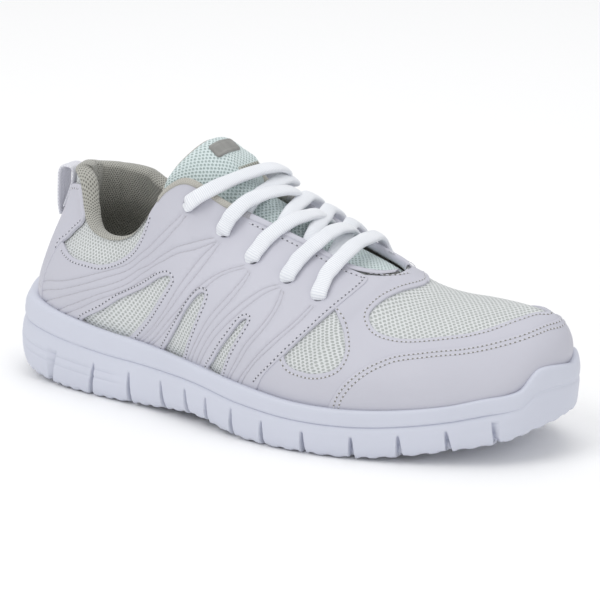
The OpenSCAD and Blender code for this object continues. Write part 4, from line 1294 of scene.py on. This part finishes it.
OUTER = [[[110.5, -26.5, 96.5], [115.8, -20, 100.2], [119, -10, 102.2], [121.5, -2, 103.4], [124, 8, 103.9],
          [125.5, 16, 103], [124.5, 24, 99.3]],
         [[127, -25.5, 89.5], [131, -19, 95.2], [135, -10, 97.4], [137.5, 0, 97.2], [138, 9, 95.2],
          [137.8, 14, 92.6],
          [137.5, 20.5, 85]],
         [[144.5, -24.5, 81.5], [149.5, -18, 87], [152.5, -10, 89], [153.5, 0, 88.6], [153.5, 8, 86.8],
          [153, 19, 79.5]],
         [[162.5, -26, 75.5], [167, -17.5, 82], [168.5, -8, 84.6], [168.5, 2, 84], [168, 10, 81.4],
          [167.5, 18.5, 74]],
         [[177, -26.5, 71], [179.5, -17, 77.2], [180, -7, 80.2], [180, 5, 80.6], [178.5, 16, 78.4]]]
INNER = [[[126, 28, 94.5], [128, 19, 97.5], [128.5, 8, 97.2], [129, -5, 95.2], [128.5, -13, 92.3],
          [127.5, -20.5, 86]],
         [[139.5, 28, 86.5], [141, 18, 91.5], [143, 7, 91.2], [146, -7, 89.2], [147, -13, 86.4],
          [148, -19.5, 80]],
         [[150.5, 29, 80.5], [152, 18, 87.2], [155, 7, 85.9], [159, -7, 83.4], [160.5, -12.5, 80.8],
          [162, -18.5, 75.5]],
         [[162.5, 28.5, 75], [164, 17, 82.5], [167, 6, 79.9], [171, -6, 77.6], [172.3, -11.5, 75.8],
          [173.5, -17.5, 72]]]
for side_name, runs, inner in (("lateral", OUTER, False), ("medial", INNER, True)):
    for k, (pts, hole) in enumerate(zip(runs, EYELETS)):
        inside_hole = eyelet_at(*hole, 2.4, inner)
        mouth = eyelet_at(*hole, -1.2, inner)
        first = np.array(pts[0])
        rise = eyelet_at(hole[0], hole[1], -2.3, inner)
        steps = [inside_hole, mouth] + [rise + (first - rise) * f for f in (.2, .6)]
        if inner:
            steps = steps[:3]
        route = [list(map(float, p)) for p in steps] + pts
        if not inner and k in (0, 4):
            far = TOP_HOLE if k == 0 else hole
            last = np.array(pts[-1])
            land = eyelet_at(*far, -2.3, True)
            route += [list(map(float, p)) for p in (last + (land - last) * .55, last + (land - last) * .9,
                                                    eyelet_at(*far, -1.2, True), eyelet_at(*far, 2.4, True))]
        lace("lace_%s_%d" % (side_name, k + 1), route)

# ---------------------------------------------------------------------------
# Stage. A pale floor, soft studio lamps above and in front, one lamp for the
# backdrop behind, a dim world that looks white, and the camera.
# ---------------------------------------------------------------------------
n = Nodes("floor_white", .9, Specular_IOR_Level=.1)
n.colour(n.mix(n.noise(n.coords(), 3), srgb(254, 254, 254), srgb(253, 253, 253)))
floor = bpy.data.objects.new("floor", bpy.data.meshes.new("floor"))
floor.data.from_pydata([(-6, -6, -.0003), (6, -6, -.0003), (6, 6, -.0003), (-6, 6, -.0003)], [],
                       [(0, 1, 2, 3)])
floor.data.materials.append(n.mat)
bpy.context.scene.collection.objects.link(floor)


def softbox(name, place, size, power, look=(0, 0, .04)):
    light = bpy.data.lights.new(name, "AREA")
    light.shape, light.size, light.energy = "DISK", size, power
    lamp = bpy.data.objects.new(name, light)
    lamp.location = place
    lamp.rotation_euler = (Vector(look) - Vector(place)).to_track_quat("-Z", "Y").to_euler()
    bpy.context.scene.collection.objects.link(lamp)


softbox("key", (-.5, -1.2, 1.5), 1.2, 8.6)
softbox("top", (.1, .1, 1.9), 1.5, 6.8)
softbox("fill", (1.4, -.9, .8), 1.2, 2.6)
softbox("backdrop", (-.5, .9, 1.3), 1.4, 2.4, (-.6, 1, 0))
world = bpy.data.worlds.new("studio")
bpy.context.scene.world = world
world.use_nodes = True
tree = world.node_tree
back, lit, mixer = tree.nodes["Background"], tree.nodes.new("ShaderNodeBackground"), tree.nodes.new("ShaderNodeMixShader")
rays = tree.nodes.new("ShaderNodeLightPath")
back.inputs[0].default_value, back.inputs[1].default_value = (.985, .99, 1, 1), .68
lit.inputs[0].default_value, lit.inputs[1].default_value = (1, 1, 1, 1), 1
tree.links.new(rays.outputs["Is Camera Ray"], mixer.inputs[0])
tree.links.new(back.outputs[0], mixer.inputs[1])
tree.links.new(lit.outputs[0], mixer.inputs[2])
tree.links.new(mixer.outputs[0], tree.nodes["World Output"].inputs["Surface"])

cam = bpy.data.objects.new("camera", bpy.data.cameras.new("camera"))
azimuth, elevation, distance = math.radians(31.785), math.radians(16.076), 1.3
view = Vector((math.sin(azimuth) * math.cos(elevation), -math.cos(azimuth) * math.cos(elevation),
               math.sin(elevation)))
target = Vector((.0005, .008, .045))
cam.location = target + view * distance
cam.rotation_euler = view.to_track_quat("Z", "Y").to_euler()
cam.data.lens, cam.data.sensor_width = 174.6, 36
cam.data.shift_x, cam.data.shift_y = .0159, .0088
cam.data.clip_end = 20
bpy.context.scene.collection.objects.link(cam)
bpy.context.scene.camera = cam
bpy.context.scene.view_settings.view_transform = "Standard"
